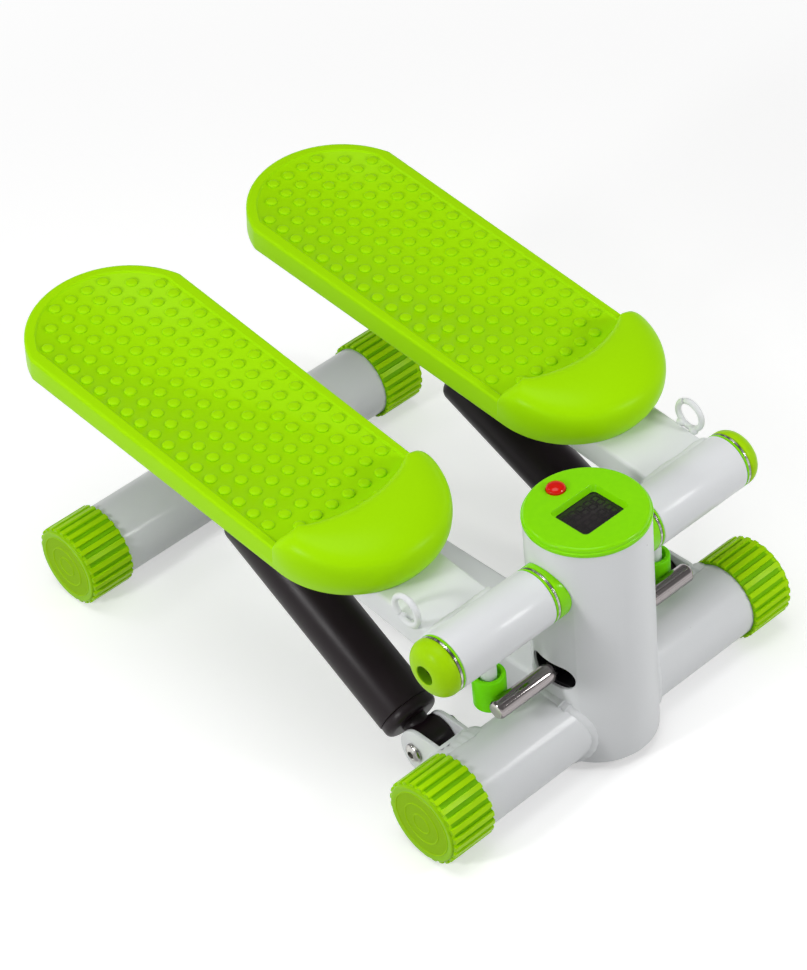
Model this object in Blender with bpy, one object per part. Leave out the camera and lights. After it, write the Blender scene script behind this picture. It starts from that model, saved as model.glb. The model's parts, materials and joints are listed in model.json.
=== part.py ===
"""A mini stepper: two foot plates on hinged arms, a rocker that links them and two damping cylinders.

Metres, +Z up, floor at z = 0. The post and its display face -Y and the heels point to +Y.
Left and right are those of the user, who stands on the plates and faces -Y, so left is +X.
Names that end in _Y are measured rearward from the post's axis. The origin is the middle of the floor print.
"""

import math

import bmesh
import bpy
from mathutils import Matrix, Vector

# Clearances
SEAT_GAP = 0.0003  # between faces that touch
RUN_GAP = 0.0003  # round a turning or sliding piece
BUMPER_GAP = 0.0005  # between a bumper and the rocker bar
ROD_EYE_PLAY = 0.0026  # the rod's upper eye floats on its pin

# Base frame
BASE_TUBE_RADIUS = 0.0254
BASE_TUBE_WALL = 0.002
BASE_TUBE_HALF_SPAN = 0.143
REAR_TUBE_Y = 0.3398
SPINE_WIDTH = 0.053
SPINE_HEIGHT = 0.030
SPINE_TOP = 0.045
SPINE_WALL = 0.002
SPINE_CORNER = 0.003
POST_RADIUS = 0.038
POST_WALL = 0.002
POST_BOTTOM = 0.00685
POST_TOP = 0.172

# Ribbed foot caps
CAP_RIB_RADIUS = 0.02834
CAP_VALLEY_DEPTH = 0.0016
CAP_RIBS = 26
CAP_CREST_SHARE = 0.40  # of a rib's pitch
CAP_OVERLAP = 0.029  # length of tube inside a cap
CAP_END_WALL = 0.0042
CAP_END_CHAMFER = 0.002

# Pivot stack on the post
PIVOT_HEIGHT = 0.1379
SHAFT_RADIUS = 0.010
SLEEVE_RADIUS = 0.0185
SLEEVE_WALL = 0.0025
SLEEVE_START = 0.0455
SLEEVE_LENGTH = 0.0724
BUSH_FLANGE = 0.0013
BUSH_LENGTH = 0.018
WASHER_THICKNESS = 0.0015
DOME_LENGTH = 0.0115
DOME_HOLE_RADIUS = 0.006
DOME_FLOOR = 0.0025
END_BOLT_RADIUS = 0.004
END_BOLT_HEAD_HEIGHT = 0.004
END_BOLT_DEPTH = 0.016

# Arms and what they carry, in the arm's own frame: x outward, y along the arm, z square to it
ARM_PITCH = math.radians(7.48)  # heel up, with both plates level with each other
ARM_CENTRE_X = 0.0906
ARM_WIDTH = 0.050
ARM_HEIGHT = 0.020
ARM_TOP = 0.0095
ARM_WALL = 0.002
ARM_CORNER = 0.0025
ARM_LENGTH = 0.305
RING_RADIUS = 0.010
RING_WIRE = 0.002
RING_ALONG = 0.031
RING_RISE = 0.009  # ring centre above the arm's top

# Rocker
BAR_RADIUS = 0.0062
BAR_HALF_LENGTH = 0.0831
BAR_HEIGHT = 0.0733
BAR_CHAMFER = 0.0012
SLOT_HALF_LENGTH = 0.0175
SLOT_HALF_HEIGHT = 0.0085
ROCKER_PIN_RADIUS = 0.004
ROCKER_PIN_HEAD_RADIUS = 0.0075
ROCKER_PIN_HEAD_HEIGHT = 0.003
CARRIER_PLATE = 0.004
CARRIER_SLOT_HALF_WIDTH = 0.0165
BUMPER_X = 0.0707
BUMPER_RADIUS = 0.0105
BUMPER_HEIGHT = 0.024
BUMPER_ROUND = 0.0015
STUD_RADIUS = 0.0052
STUD_DEPTH = 0.014  # length of stud inside the bumper

# Foot plates, along the arm from its pivot
PLATE_HEIGHT = 0.0168
PLATE_WALL = 0.003
PLATE_MID = 0.200
PLATE_MID_HALF_WIDTH = 0.0576
PLATE_TAPER = 0.0163  # half width gained per length toward the heel
TOE_CENTRE = 0.1085
HEEL_CENTRE = 0.3145
HEEL_RADIUS = 0.0625
RIM_WIDTH = 0.0065  # at the heel
DECK_HALF_WIDTH = 0.0515
RIM_ROUND = 0.002
DECK_STEP = 0.0012
DECK_THICKNESS = 0.003
LIP_RISE = 0.0184  # toe lip above the rim at its middle
LIP_END_RISE = 0.0162
LIP_BACK = 0.098  # lip's rear edge at the middle
LIP_BACK_CURVE = 0.170  # twice the radius that bends the rear edge toward the heel
LIP_HORN_WIDTH = 0.0165  # how far the lip's horns reach in over the deck
LIP_FLARE = 0.0066  # how far the lip swells out past the wall at its middle
LIP_END_FLARE = 0.0026
LIP_FLARE_HEIGHT = 0.006  # where the swelling is well under way
LIP_FADE_START = 0.0955  # the lip's horns round off over this stretch
LIP_FADE_END = 0.1130
LIP_FADE_STEPS = 3
TOE_STEPS = 20
HEEL_STEPS = 12
SIDE_STEPS = 4
RIB_THICKNESS = 0.002
LONG_RIB_X = 0.0185
CROSS_RIB_START = 0.1225
CROSS_RIB_PITCH = 0.036
CROSS_RIBS = 7

# Damping cylinders and their clevises
LOWER_PIN_Y = 0.0436
LOWER_PIN_HEIGHT = 0.0313
UPPER_PIN_X = 0.0911
UPPER_PIN_ALONG = 0.2517
UPPER_PIN_DROP = 0.0297  # below the pivot's level in the arm's frame
PIN_RADIUS = 0.004
BODY_RADIUS = 0.0189
BODY_START = 0.0165  # from the lower pin to the body's end
BODY_LENGTH = 0.169
BODY_SHOULDER = 0.006  # rounding at the lower end
BODY_CROWN = 0.0065  # rounding at the rod end
NECK_RADIUS = 0.0085
BODY_WALL = 0.0029
CHAMBER_DEPTH = 0.145  # from the rod end to the chamber's floor
GUIDE_LENGTH = 0.014
ROD_RADIUS = 0.006
ROD_INSERTION = 0.088
PISTON_LENGTH = 0.012
LOWER_EYE_RADIUS = 0.0138
LOWER_EYE_WIDTH = 0.0186
UPPER_EYE_RADIUS = 0.0105
UPPER_EYE_WIDTH = 0.016
CLEVIS_SIDE_GAP = 0.0005
ROD_EYE_SIDE_GAP = 0.0012  # the leaning rod drifts sideways as it slides
CLEVIS_THICKNESS = 0.003
CLEVIS_BEND = 0.002
CLEVIS_HALF_HEIGHT = 0.0165
CLEVIS_OVERHANG = 0.0125
CLEVIS_WEB_Y = 0.0205
CLEVIS_CAP_GAP = 0.0028  # between a lower clevis and the cap beside it
ROD_BRACKET_HALF_HEIGHT = 0.012
ROD_BRACKET_OVERHANG = 0.010
BOLT_HEAD_RADIUS = 0.0063
BOLT_HEAD_HEIGHT = 0.0036
NUT_RADIUS = 0.0075
NUT_HEIGHT = 0.0065
BOLT_END = 0.0015  # thread past the nut

# Display
COVER_OVERHANG = 0.0005
COVER_FLANGE_HEIGHT = 0.0026
COVER_STEP = 0.0009
COVER_TOP_HEIGHT = 0.0029
COVER_ROUND = 0.0018
COVER_PLATE = 0.004
COVER_SKIRT = 0.008
COVER_SKIRT_WALL = 0.002
WINDOW_WIDTH = 0.0366
WINDOW_DEPTH = 0.0298
WINDOW_TAPER = 0.0016
WINDOW_CORNER = 0.003
WINDOW_Y = -0.0025
GLASS_THICKNESS = 0.0012
GLASS_MARGIN = 0.003
MODULE_HEIGHT = 0.009
MODULE_BUTTON_GAP = 0.00075
BUTTON_SPACING = 0.0126  # from the window's rear edge to the button's axis
BUTTON_RADIUS = 0.006
BUTTON_RISE = 0.0012
BUTTON_DOME = 0.0022
BUTTON_FLANGE = 0.001
BUTTON_FLANGE_HEIGHT = 0.0012

# Facets round a full turn
LARGE_STEPS = 36
TUBE_STEPS = 24
MEDIUM_STEPS = 18
SMALL_STEPS = 12

# Places that follow from the sizes above
CREST_HALF_ANGLE = math.pi / CAP_RIBS * CAP_CREST_SHARE
BASE_HEIGHT = CAP_RIB_RADIUS * math.cos(CREST_HALF_ANGLE)
PLATE_BOTTOM = ARM_TOP + SEAT_GAP
RIM_TOP = PLATE_BOTTOM + PLATE_HEIGHT
DECK_TOP = RIM_TOP - DECK_STEP
HEEL_REACH = (HEEL_CENTRE + HEEL_RADIUS) * math.cos(ARM_PITCH) - PLATE_BOTTOM * math.sin(ARM_PITCH)
REAR_REACH = max(HEEL_REACH, REAR_TUBE_Y + CAP_RIB_RADIUS)
FRONT_REACH = max(POST_RADIUS + COVER_OVERHANG, CAP_RIB_RADIUS)
POST_Y = (FRONT_REACH - REAR_REACH) / 2
SLEEVE_END = SLEEVE_START + SLEEVE_LENGTH
FLANGE_STEP = SEAT_GAP + BUSH_FLANGE
WASHER_STEP = SEAT_GAP + WASHER_THICKNESS
COLLAR_END = SLEEVE_START - FLANGE_STEP - WASHER_STEP - SEAT_GAP
SHAFT_END = SLEEVE_END + FLANGE_STEP + WASHER_STEP
DOME_START = SHAFT_END + SEAT_GAP
BUMPER_Y = BAR_RADIUS + BUMPER_GAP + BUMPER_RADIUS
CLEVIS_HALF_GAP = LOWER_EYE_WIDTH / 2 + CLEVIS_SIDE_GAP
CAP_MOUTH = BASE_TUBE_HALF_SPAN - CAP_OVERLAP
LOWER_PIN_X = CAP_MOUTH - CLEVIS_CAP_GAP - CLEVIS_THICKNESS - CLEVIS_HALF_GAP
BUTTON_Y = WINDOW_Y + WINDOW_DEPTH / 2 + BUTTON_SPACING
MODULE_MARGIN = BUTTON_SPACING - BUTTON_RADIUS - BUTTON_FLANGE - MODULE_BUTTON_GAP

SIDES = {"left": 1, "right": -1}
PIVOT = Matrix.Translation((0, POST_Y, PIVOT_HEIGHT))
ARM_FRAME = PIVOT @ Matrix.Rotation(ARM_PITCH, 4, "X")
TURN_TO_Y = Matrix.Rotation(-math.pi / 2, 4, "X")  # local Z onto +Y


def turn_to_x(side):
    """Turns local Z onto +X on the left and onto -X on the right."""
    return Matrix.Rotation(side * math.pi / 2, 4, "Y")


def material(name, colour, roughness, metallic=0.0):
    made = bpy.data.materials.new(name)
    made.use_nodes = True
    shader = made.node_tree.nodes["Principled BSDF"]
    shader.inputs["Base Color"].default_value = (*colour, 1.0)
    shader.inputs["Roughness"].default_value = roughness
    shader.inputs["Metallic"].default_value = metallic
    return made


def joint_empty(name, frame):
    empty = bpy.data.objects.new(name, None)
    empty.empty_display_size = 0.03
    empty.matrix_world = frame
    bpy.context.scene.collection.objects.link(empty)
    return empty


def solid(name, shape, finish=None, frame=Matrix.Identity(4), parent=None):
    """An object from a bmesh, which it uses up, placed by a frame and carried by a joint's empty."""
    bmesh.ops.recalc_face_normals(shape, faces=shape.faces)
    mesh = bpy.data.meshes.new(name)
    shape.to_mesh(mesh)
    shape.free()
    return placed(name, mesh, finish, frame, parent)


def placed(name, mesh, finish, frame, parent=None):
    made = bpy.data.objects.new(name, mesh)
    bpy.context.scene.collection.objects.link(made)
    made.matrix_world = frame
    if parent:
        made.parent = parent
        made.matrix_parent_inverse = parent.matrix_world.inverted()
    if finish and not mesh.materials:
        mesh.materials.append(finish)
    mesh.shade_smooth()
    mesh.set_sharp_from_angle(angle=math.radians(35))
    return made


def combine(target, operation, tools):
    """Joins, cuts or trims the target with the tools, which it uses up."""
    for tool in tools:
        step = target.modifiers.new(operation.title(), "BOOLEAN")
        step.operation = operation
        step.solver = "EXACT"
        step.object = tool
    graph = bpy.context.evaluated_depsgraph_get()
    old = target.data
    target.data = bpy.data.meshes.new_from_object(target.evaluated_get(graph))
    target.data.name = target.name
    target.modifiers.clear()
    bpy.data.meshes.remove(old)
    for tool in tools:
        bpy.data.objects.remove(tool)
    target.data.shade_smooth()
    target.data.set_sharp_from_angle(angle=math.radians(35))
    return target


def turned(profile, steps, frame=Matrix.Identity(4), ring=False):
    """Turns (radius, height) points about Z. A ring's profile closes on itself; others end on the axis."""
    shape = bmesh.new()
    points = [shape.verts.new((radius, 0, height)) for radius, height in profile]
    pairs = list(zip(points, points[1:]))
    if ring:
        pairs.append((points[-1], points[0]))
    edges = [shape.edges.new(pair) for pair in pairs]
    bmesh.ops.spin(
        shape,
        geom=points + edges,
        cent=(0, 0, 0),
        axis=(0, 0, 1),
        angle=2 * math.pi,
        steps=steps,
        use_merge=True,
    )
    bmesh.ops.remove_doubles(shape, verts=shape.verts, dist=1e-7)
    bmesh.ops.transform(shape, matrix=frame, verts=shape.verts)
    return shape


def rod(radius, start, end, steps, frame=Matrix.Identity(4)):
    return turned([(0, start), (radius, start), (radius, end), (0, end)], steps, frame)


def pipe(outer, inner, start, end, steps, frame=Matrix.Identity(4)):
    profile = [(outer, start), (outer, end), (inner, end), (inner, start)]
    return turned(profile, steps, frame, ring=True)


def prism(outline, start, end, frame=Matrix.Identity(4)):
    """Extrudes a closed outline of (x, y) points along Z."""
    shape = bmesh.new()
    base = shape.faces.new([shape.verts.new((x, y, start)) for x, y in outline])
    grown = bmesh.ops.extrude_face_region(shape, geom=[base])
    top = [item for item in grown["geom"] if isinstance(item, bmesh.types.BMVert)]
    bmesh.ops.translate(shape, vec=(0, 0, end - start), verts=top)
    bmesh.ops.transform(shape, matrix=frame, verts=shape.verts)
    return shape


def loft(rings, frame=Matrix.Identity(4)):
    """Skins rings of equal length with quads and closes the first and the last."""
    shape = bmesh.new()
    rows = [[shape.verts.new(point) for point in ring] for ring in rings]
    for low, high in zip(rows, rows[1:]):
        for index in range(len(low)):
            after = (index + 1) % len(low)
            shape.faces.new((low[index], low[after], high[after], high[index]))
    shape.faces.new(rows[0])
    shape.faces.new(rows[-1])
    bmesh.ops.transform(shape, matrix=frame, verts=shape.verts)
    return shape


def block(low, high, frame=Matrix.Identity(4)):
    outline = [(low[0], low[1]), (high[0], low[1]), (high[0], high[1]), (low[0], high[1])]
    return prism(outline, low[2], high[2], frame)


def arc(centre, radius, start, end, steps):
    """Points on an arc, angles in radians from +X."""
    angles = [start + (end - start) * step / steps for step in range(steps + 1)]
    return [(centre[0] + radius * math.cos(a), centre[1] + radius * math.sin(a)) for a in angles]


def round_rectangle(width, height, corner, steps=3):
    points = []
    for quarter in range(4):
        angle = quarter * math.pi / 2
        across = math.copysign(width / 2 - corner, math.cos(angle + math.pi / 4))
        up = math.copysign(height / 2 - corner, math.sin(angle + math.pi / 4))
        points += arc((across, up), corner, angle, angle + math.pi / 2, steps)
    return points


def post_cutter():
    return solid("cutter", rod(POST_RADIUS + SEAT_GAP, -POST_TOP, 2 * POST_TOP, LARGE_STEPS,
                               Matrix.Translation((0, POST_Y, 0))))


def base_tube_cutter(y):
    reach = 2 * BASE_TUBE_HALF_SPAN
    frame = Matrix.Translation((0, POST_Y + y, BASE_HEIGHT)) @ turn_to_x(1)
    return solid("cutter", rod(BASE_TUBE_RADIUS + SEAT_GAP, -reach, reach, TUBE_STEPS, frame))


# Base frame

def build_post(finish):
    frame = Matrix.Translation((0, POST_Y, 0))
    shape = pipe(POST_RADIUS, POST_RADIUS - POST_WALL, POST_BOTTOM, POST_TOP, LARGE_STEPS)
    post = solid("post", shape, finish, frame)
    reach = 2 * POST_RADIUS
    shaft_hole = rod(SHAFT_RADIUS + SEAT_GAP, -reach, reach, MEDIUM_STEPS, PIVOT @ turn_to_x(1))
    flat = SLOT_HALF_LENGTH - SLOT_HALF_HEIGHT
    outline = arc((0, flat), SLOT_HALF_HEIGHT, 0, math.pi, 8)
    outline += arc((0, -flat), SLOT_HALF_HEIGHT, math.pi, 2 * math.pi, 8)
    slot_frame = Matrix.Translation((0, POST_Y, BAR_HEIGHT)) @ turn_to_x(1)
    slot = prism(outline, -reach, reach, slot_frame)
    return combine(post, "DIFFERENCE", [solid("cutter", shaft_hole), solid("cutter", slot)])


def build_base_tubes(finish):
    inner = BASE_TUBE_RADIUS - BASE_TUBE_WALL
    for name, side in SIDES.items():
        frame = Matrix.Translation((0, POST_Y, BASE_HEIGHT))
        start = POST_RADIUS / 2
        shape = pipe(BASE_TUBE_RADIUS, inner, start, BASE_TUBE_HALF_SPAN, TUBE_STEPS, turn_to_x(side))
        stub = solid(f"front_tube_{name}", shape, finish, frame)
        combine(stub, "DIFFERENCE", [post_cutter()])
    frame = Matrix.Translation((0, POST_Y + REAR_TUBE_Y, BASE_HEIGHT))
    shape = pipe(BASE_TUBE_RADIUS, inner, -BASE_TUBE_HALF_SPAN, BASE_TUBE_HALF_SPAN, TUBE_STEPS, turn_to_x(1))
    solid("rear_tube", shape, finish, frame)


def build_spine(finish):
    frame = Matrix.Translation((0, POST_Y, SPINE_TOP - SPINE_HEIGHT / 2)) @ TURN_TO_Y
    start, end = POST_RADIUS / 2, REAR_TUBE_Y
    outer = round_rectangle(SPINE_WIDTH, SPINE_HEIGHT, SPINE_CORNER)
    spine = solid("spine_tube", prism(outer, start, end), finish, frame)
    corner = SPINE_CORNER - SPINE_WALL / 2
    bore = round_rectangle(SPINE_WIDTH - 2 * SPINE_WALL, SPINE_HEIGHT - 2 * SPINE_WALL, corner)
    cutter = solid("cutter", prism(bore, start - SPINE_WIDTH, end + SPINE_WIDTH), None, frame)
    combine(spine, "DIFFERENCE", [cutter, post_cutter(), base_tube_cutter(REAR_TUBE_Y)])


def cap_rib_outline():
    """Round the cap: the two corners of each crest, then the valley after it."""
    half_pitch = math.pi / CAP_RIBS
    valley = CAP_RIB_RADIUS - CAP_VALLEY_DEPTH
    points = []
    for rib in range(CAP_RIBS):
        crest = 2 * rib * half_pitch
        points += arc((0, 0), CAP_RIB_RADIUS, crest - CREST_HALF_ANGLE, crest + CREST_HALF_ANGLE, 1)
        points += arc((0, 0), valley, crest + half_pitch, crest + half_pitch, 1)[:1]
    return points


def build_foot_caps(finish):
    """Rubber cups over the base tubes, ribbed along the outside."""
    end = BASE_TUBE_HALF_SPAN + SEAT_GAP + CAP_END_WALL
    outline = cap_rib_outline()
    shrink = 1 - CAP_END_CHAMFER / CAP_RIB_RADIUS
    rings = [[(x, y, CAP_MOUTH) for x, y in outline], [(x, y, end - CAP_END_CHAMFER) for x, y in outline],
             [(x * shrink, y * shrink, end) for x, y in outline]]
    cup = solid("cap_pattern", loft(rings), finish)
    bore = rod(BASE_TUBE_RADIUS + SEAT_GAP, 0, BASE_TUBE_HALF_SPAN + SEAT_GAP, TUBE_STEPS)
    combine(cup, "DIFFERENCE", [solid("cutter", bore)])
    for place, y in (("front", 0), ("rear", REAR_TUBE_Y)):
        for name, side in SIDES.items():
            # The crest at the bottom is flat, so each cap stands on one crest's land.
            frame = Matrix.Translation((0, POST_Y + y, BASE_HEIGHT)) @ turn_to_x(side)
            placed(f"{place}_{name}_foot_cap", cup.data, finish, frame)
    bpy.data.objects.remove(cup)


# Pivot stack

def build_pivot_stack(steel, green, dome_green):
    hole = END_BOLT_RADIUS + RUN_GAP
    floor = SHAFT_END - END_BOLT_DEPTH
    half = [(0, floor), (hole, floor), (hole, SHAFT_END), (SHAFT_RADIUS, SHAFT_END)]
    profile = half + [(radius, -height) for radius, height in reversed(half)]
    solid("pivot_shaft", turned(profile, SMALL_STEPS, turn_to_x(1)), steel, PIVOT)
    bore = SHAFT_RADIUS + RUN_GAP
    for name, side in SIDES.items():
        turn = turn_to_x(side)
        shape = pipe(SLEEVE_RADIUS, bore, POST_RADIUS / 2, COLLAR_END, TUBE_STEPS, turn)
        collar = solid(f"{name}_collar", shape, green, PIVOT)
        combine(collar, "DIFFERENCE", [post_cutter()])
        inner = COLLAR_END + SEAT_GAP
        shape = pipe(SLEEVE_RADIUS, bore, inner, inner + WASHER_THICKNESS, MEDIUM_STEPS, turn)
        solid(f"{name}_inner_washer", shape, steel, PIVOT)
        outer = SLEEVE_END + FLANGE_STEP + SEAT_GAP
        shape = pipe(SLEEVE_RADIUS, bore, outer, outer + WASHER_THICKNESS, MEDIUM_STEPS, turn)
        solid(f"{name}_outer_washer", shape, steel, PIVOT)
        build_dome_cap(name, turn, dome_green)
        build_end_bolt(name, turn, steel)


def build_dome_cap(name, turn, finish):
    """A domed cap that hides the end bolt at the bottom of its hole."""
    tip = DOME_START + DOME_LENGTH
    land = DOME_LENGTH / 6
    curve = [(DOME_HOLE_RADIUS + (SLEEVE_RADIUS - DOME_HOLE_RADIUS) * math.cos(t) ** 0.85,
              DOME_START + land + (DOME_LENGTH - land) * math.sin(t))
             for t in [step * math.pi / 8 for step in range(4)]]
    hole = END_BOLT_RADIUS + RUN_GAP
    profile = [(SLEEVE_RADIUS, DOME_START)] + curve
    profile += [(DOME_HOLE_RADIUS, tip), (DOME_HOLE_RADIUS, DOME_START + DOME_FLOOR)]
    profile += [(hole, DOME_START + DOME_FLOOR), (hole, DOME_START)]
    solid(f"{name}_dome_cap", turned(profile, TUBE_STEPS, turn, ring=True), finish, PIVOT)


def build_end_bolt(name, turn, finish):
    seat = DOME_START + DOME_FLOOR + SEAT_GAP
    head = DOME_HOLE_RADIUS - RUN_GAP
    crown = seat + END_BOLT_HEAD_HEIGHT
    profile = [(0, crown), (head * 0.6, crown), (head, crown - END_BOLT_HEAD_HEIGHT / 2), (head, seat)]
    profile += [(END_BOLT_RADIUS, seat), (END_BOLT_RADIUS, SHAFT_END - END_BOLT_DEPTH + SEAT_GAP)]
    profile.append((0, SHAFT_END - END_BOLT_DEPTH + SEAT_GAP))
    solid(f"{name}_end_bolt", turned(profile, SMALL_STEPS, turn), finish, PIVOT)


# Rocker

def build_rocker(chrome, steel, nylon):
    frame = Matrix.Translation((0, POST_Y, BAR_HEIGHT))
    empty = joint_empty("rocker_axis", frame)
    tip = BAR_HALF_LENGTH - BAR_CHAMFER
    profile = [(0, -BAR_HALF_LENGTH), (BAR_RADIUS - BAR_CHAMFER, -BAR_HALF_LENGTH), (BAR_RADIUS, -tip)]
    profile += [(radius, -height) for radius, height in reversed(profile)]
    bar = solid("rocker_bar", turned(profile, MEDIUM_STEPS, turn_to_x(1)), chrome, frame, empty)
    hole = rod(ROCKER_PIN_RADIUS + RUN_GAP, -2 * BAR_RADIUS, 2 * BAR_RADIUS, SMALL_STEPS, frame)
    combine(bar, "DIFFERENCE", [solid("cutter", hole)])
    # The carrier is a drum pressed into the post, slotted for the bar's swing.
    slot = BAR_RADIUS + RUN_GAP
    half = slot + CARRIER_PLATE
    drum = rod(POST_RADIUS - POST_WALL - SEAT_GAP, -half, half, MEDIUM_STEPS)
    carrier = solid("rocker_carrier", drum, nylon, frame)
    reach = 2 * POST_RADIUS
    way = block((-reach, -CARRIER_SLOT_HALF_WIDTH, -slot), (reach, CARRIER_SLOT_HALF_WIDTH, slot), frame)
    pin_hole = rod(ROCKER_PIN_RADIUS + SEAT_GAP, -2 * half, 2 * half, SMALL_STEPS, frame)
    combine(carrier, "DIFFERENCE", [solid("cutter", way), solid("cutter", pin_hole)])
    seat = half + SEAT_GAP
    crown = seat + ROCKER_PIN_HEAD_HEIGHT
    profile = [(0, crown), (ROCKER_PIN_HEAD_RADIUS, crown), (ROCKER_PIN_HEAD_RADIUS, seat)]
    profile += [(ROCKER_PIN_RADIUS, seat), (ROCKER_PIN_RADIUS, -half), (0, -half)]
    solid("rocker_pin", turned(profile, SMALL_STEPS), steel, frame)


# Arms

def build_arm(name, side, empty, finishes):
    white, green, rubber = finishes["white"], finishes["green"], finishes["bumper"]
    turn = turn_to_x(side)
    shape = pipe(SLEEVE_RADIUS, SLEEVE_RADIUS - SLEEVE_WALL, SLEEVE_START, SLEEVE_END, TUBE_STEPS, turn)
    solid(f"{name}_sleeve", shape, white, ARM_FRAME, empty)
    barrel = SLEEVE_RADIUS - SLEEVE_WALL - SEAT_GAP
    bore = SHAFT_RADIUS + RUN_GAP
    for place, face, inward in (("inner", SLEEVE_START - SEAT_GAP, 1), ("outer", SLEEVE_END + SEAT_GAP, -1)):
        lip, tail = face - inward * BUSH_FLANGE, face + inward * BUSH_LENGTH
        profile = [(SLEEVE_RADIUS, lip), (SLEEVE_RADIUS, face), (barrel, face)]
        profile += [(barrel, tail), (bore, tail), (bore, lip)]
        solid(f"{name}_{place}_bush", turned(profile, MEDIUM_STEPS, turn, ring=True), green, ARM_FRAME, empty)
    build_arm_tube(name, side, empty, white)
    build_ring(name, side, empty, white)
    build_stud_and_bumper(name, side, empty, white, rubber)


def arm_place(side):
    return Matrix.Translation((side * ARM_CENTRE_X, 0, ARM_TOP - ARM_HEIGHT / 2)) @ TURN_TO_Y


def arm_block(side, grow):
    outline = round_rectangle(ARM_WIDTH + 2 * grow, ARM_HEIGHT + 2 * grow, ARM_CORNER)
    return prism(outline, 0, ARM_LENGTH + grow, arm_place(side))


def sleeve_cutter():
    return rod(SLEEVE_RADIUS + SEAT_GAP, -2 * SLEEVE_END, 2 * SLEEVE_END, TUBE_STEPS, turn_to_x(1))


def build_arm_tube(name, side, empty, finish):
    """A flat tube coped to the sleeve at the front, with a welded end."""
    arm = solid(f"{name}_arm", arm_block(side, 0), finish, ARM_FRAME, empty)
    inner = round_rectangle(ARM_WIDTH - 2 * ARM_WALL, ARM_HEIGHT - 2 * ARM_WALL, ARM_CORNER - ARM_WALL / 2)
    bore = prism(inner, -SLEEVE_RADIUS, ARM_LENGTH - ARM_WALL, arm_place(side))
    cuts = [solid("cutter", shape, None, ARM_FRAME) for shape in (bore, sleeve_cutter())]
    combine(arm, "DIFFERENCE", cuts)


def build_ring(name, side, empty, finish):
    """A wire eye for a band, welded to the arm's outer side."""
    across = ARM_CENTRE_X + ARM_WIDTH / 2 + SEAT_GAP + RING_WIRE
    frame = ARM_FRAME @ Matrix.Translation((side * across, RING_ALONG, ARM_TOP + RING_RISE)) @ turn_to_x(side)
    section = arc((RING_RADIUS, 0), RING_WIRE, 0, 2 * math.pi, 6)[:-1]
    solid(f"{name}_band_ring", turned(section, MEDIUM_STEPS, ring=True), finish, frame, empty)


def build_stud_and_bumper(name, side, empty, white, rubber):
    """The stud hangs from the sleeve, upright at rest, with a rubber bumper behind the rocker bar."""
    drop = BAR_HEIGHT - PIVOT_HEIGHT
    top, bottom = drop + BUMPER_HEIGHT / 2, drop - BUMPER_HEIGHT / 2
    place = Matrix.Translation((side * BUMPER_X, BUMPER_Y, 0))
    shape = rod(STUD_RADIUS, top - STUD_DEPTH, 0, SMALL_STEPS, place)
    stud = solid(f"{name}_bumper_stud", shape, white, PIVOT, empty)
    trims = [solid("cutter", trim, None, ARM_FRAME) for trim in (sleeve_cutter(), arm_block(side, SEAT_GAP))]
    combine(stud, "DIFFERENCE", trims)
    hole, floor = STUD_RADIUS + SEAT_GAP, top - STUD_DEPTH - SEAT_GAP
    outer = BUMPER_RADIUS - BUMPER_ROUND
    profile = [(0, bottom), (outer, bottom), (BUMPER_RADIUS, bottom + BUMPER_ROUND)]
    profile += [(BUMPER_RADIUS, top - BUMPER_ROUND), (outer, top), (hole, top), (hole, floor), (0, floor)]
    solid(f"{name}_bumper", turned(profile, MEDIUM_STEPS, place), rubber, PIVOT, empty)


# Foot plates

def half_width(along, inset=0.0):
    """Half the plate's width. The outer edge flares toward the heel and the deck inside the rim does not."""
    outer = PLATE_MID_HALF_WIDTH + PLATE_TAPER * (along - PLATE_MID)
    share = min(inset / RIM_WIDTH, 1.0)
    return outer + share * (DECK_HALF_WIDTH - outer) - max(inset - RIM_WIDTH, 0.0)


def plate_outline(inset):
    """Round the plate: the toe's arc, the left side, the heel's arc and the right side."""
    toe = half_width(TOE_CENTRE, inset)
    heel = HEEL_RADIUS - inset
    join = HEEL_CENTRE
    for _ in range(4):
        join = HEEL_CENTRE + math.sqrt(heel**2 - half_width(join, inset) ** 2)
    points = arc((0, TOE_CENTRE), toe, math.pi, 2 * math.pi, TOE_STEPS)
    fade = [math.sin(math.pi / 2 * step / LIP_FADE_STEPS) for step in range(1, LIP_FADE_STEPS + 1)]
    stations = [TOE_CENTRE + share * (LIP_FADE_END - TOE_CENTRE) for share in fade]
    gap = (join - LIP_FADE_END) / SIDE_STEPS
    stations += [LIP_FADE_END + gap * step for step in range(1, SIDE_STEPS)]
    edge = [(half_width(along, inset), along) for along in stations]
    corner = math.atan2(join - HEEL_CENTRE, half_width(join, inset))
    points += edge + arc((0, HEEL_CENTRE), heel, corner, math.pi - corner, HEEL_STEPS)
    return points + [(-across, along) for across, along in reversed(edge)]


def lip_point(edge, edge_inset, depth, flare):
    """Where the lip takes a point of the edge: swollen outward, then drawn back over the deck."""
    across, front = edge
    share = min(abs(across) / half_width(TOE_CENTRE), 1.0) ** 2
    horn = math.copysign((LIP_HORN_WIDTH - 2 * edge_inset) * share, across)
    back = LIP_BACK + (across - horn) ** 2 / LIP_BACK_CURVE - edge_inset + max(front - TOE_CENTRE, 0.0)
    outward = Vector((across, min(front - TOE_CENTRE, 0.0))).normalized()
    swell = outward * flare * (LIP_FLARE + (LIP_END_FLARE - LIP_FLARE) * share)
    crest = LIP_RISE + (LIP_END_RISE - LIP_RISE) * share
    return across - depth * horn + swell.x, front + depth * (back - front) + swell.y, crest


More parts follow.
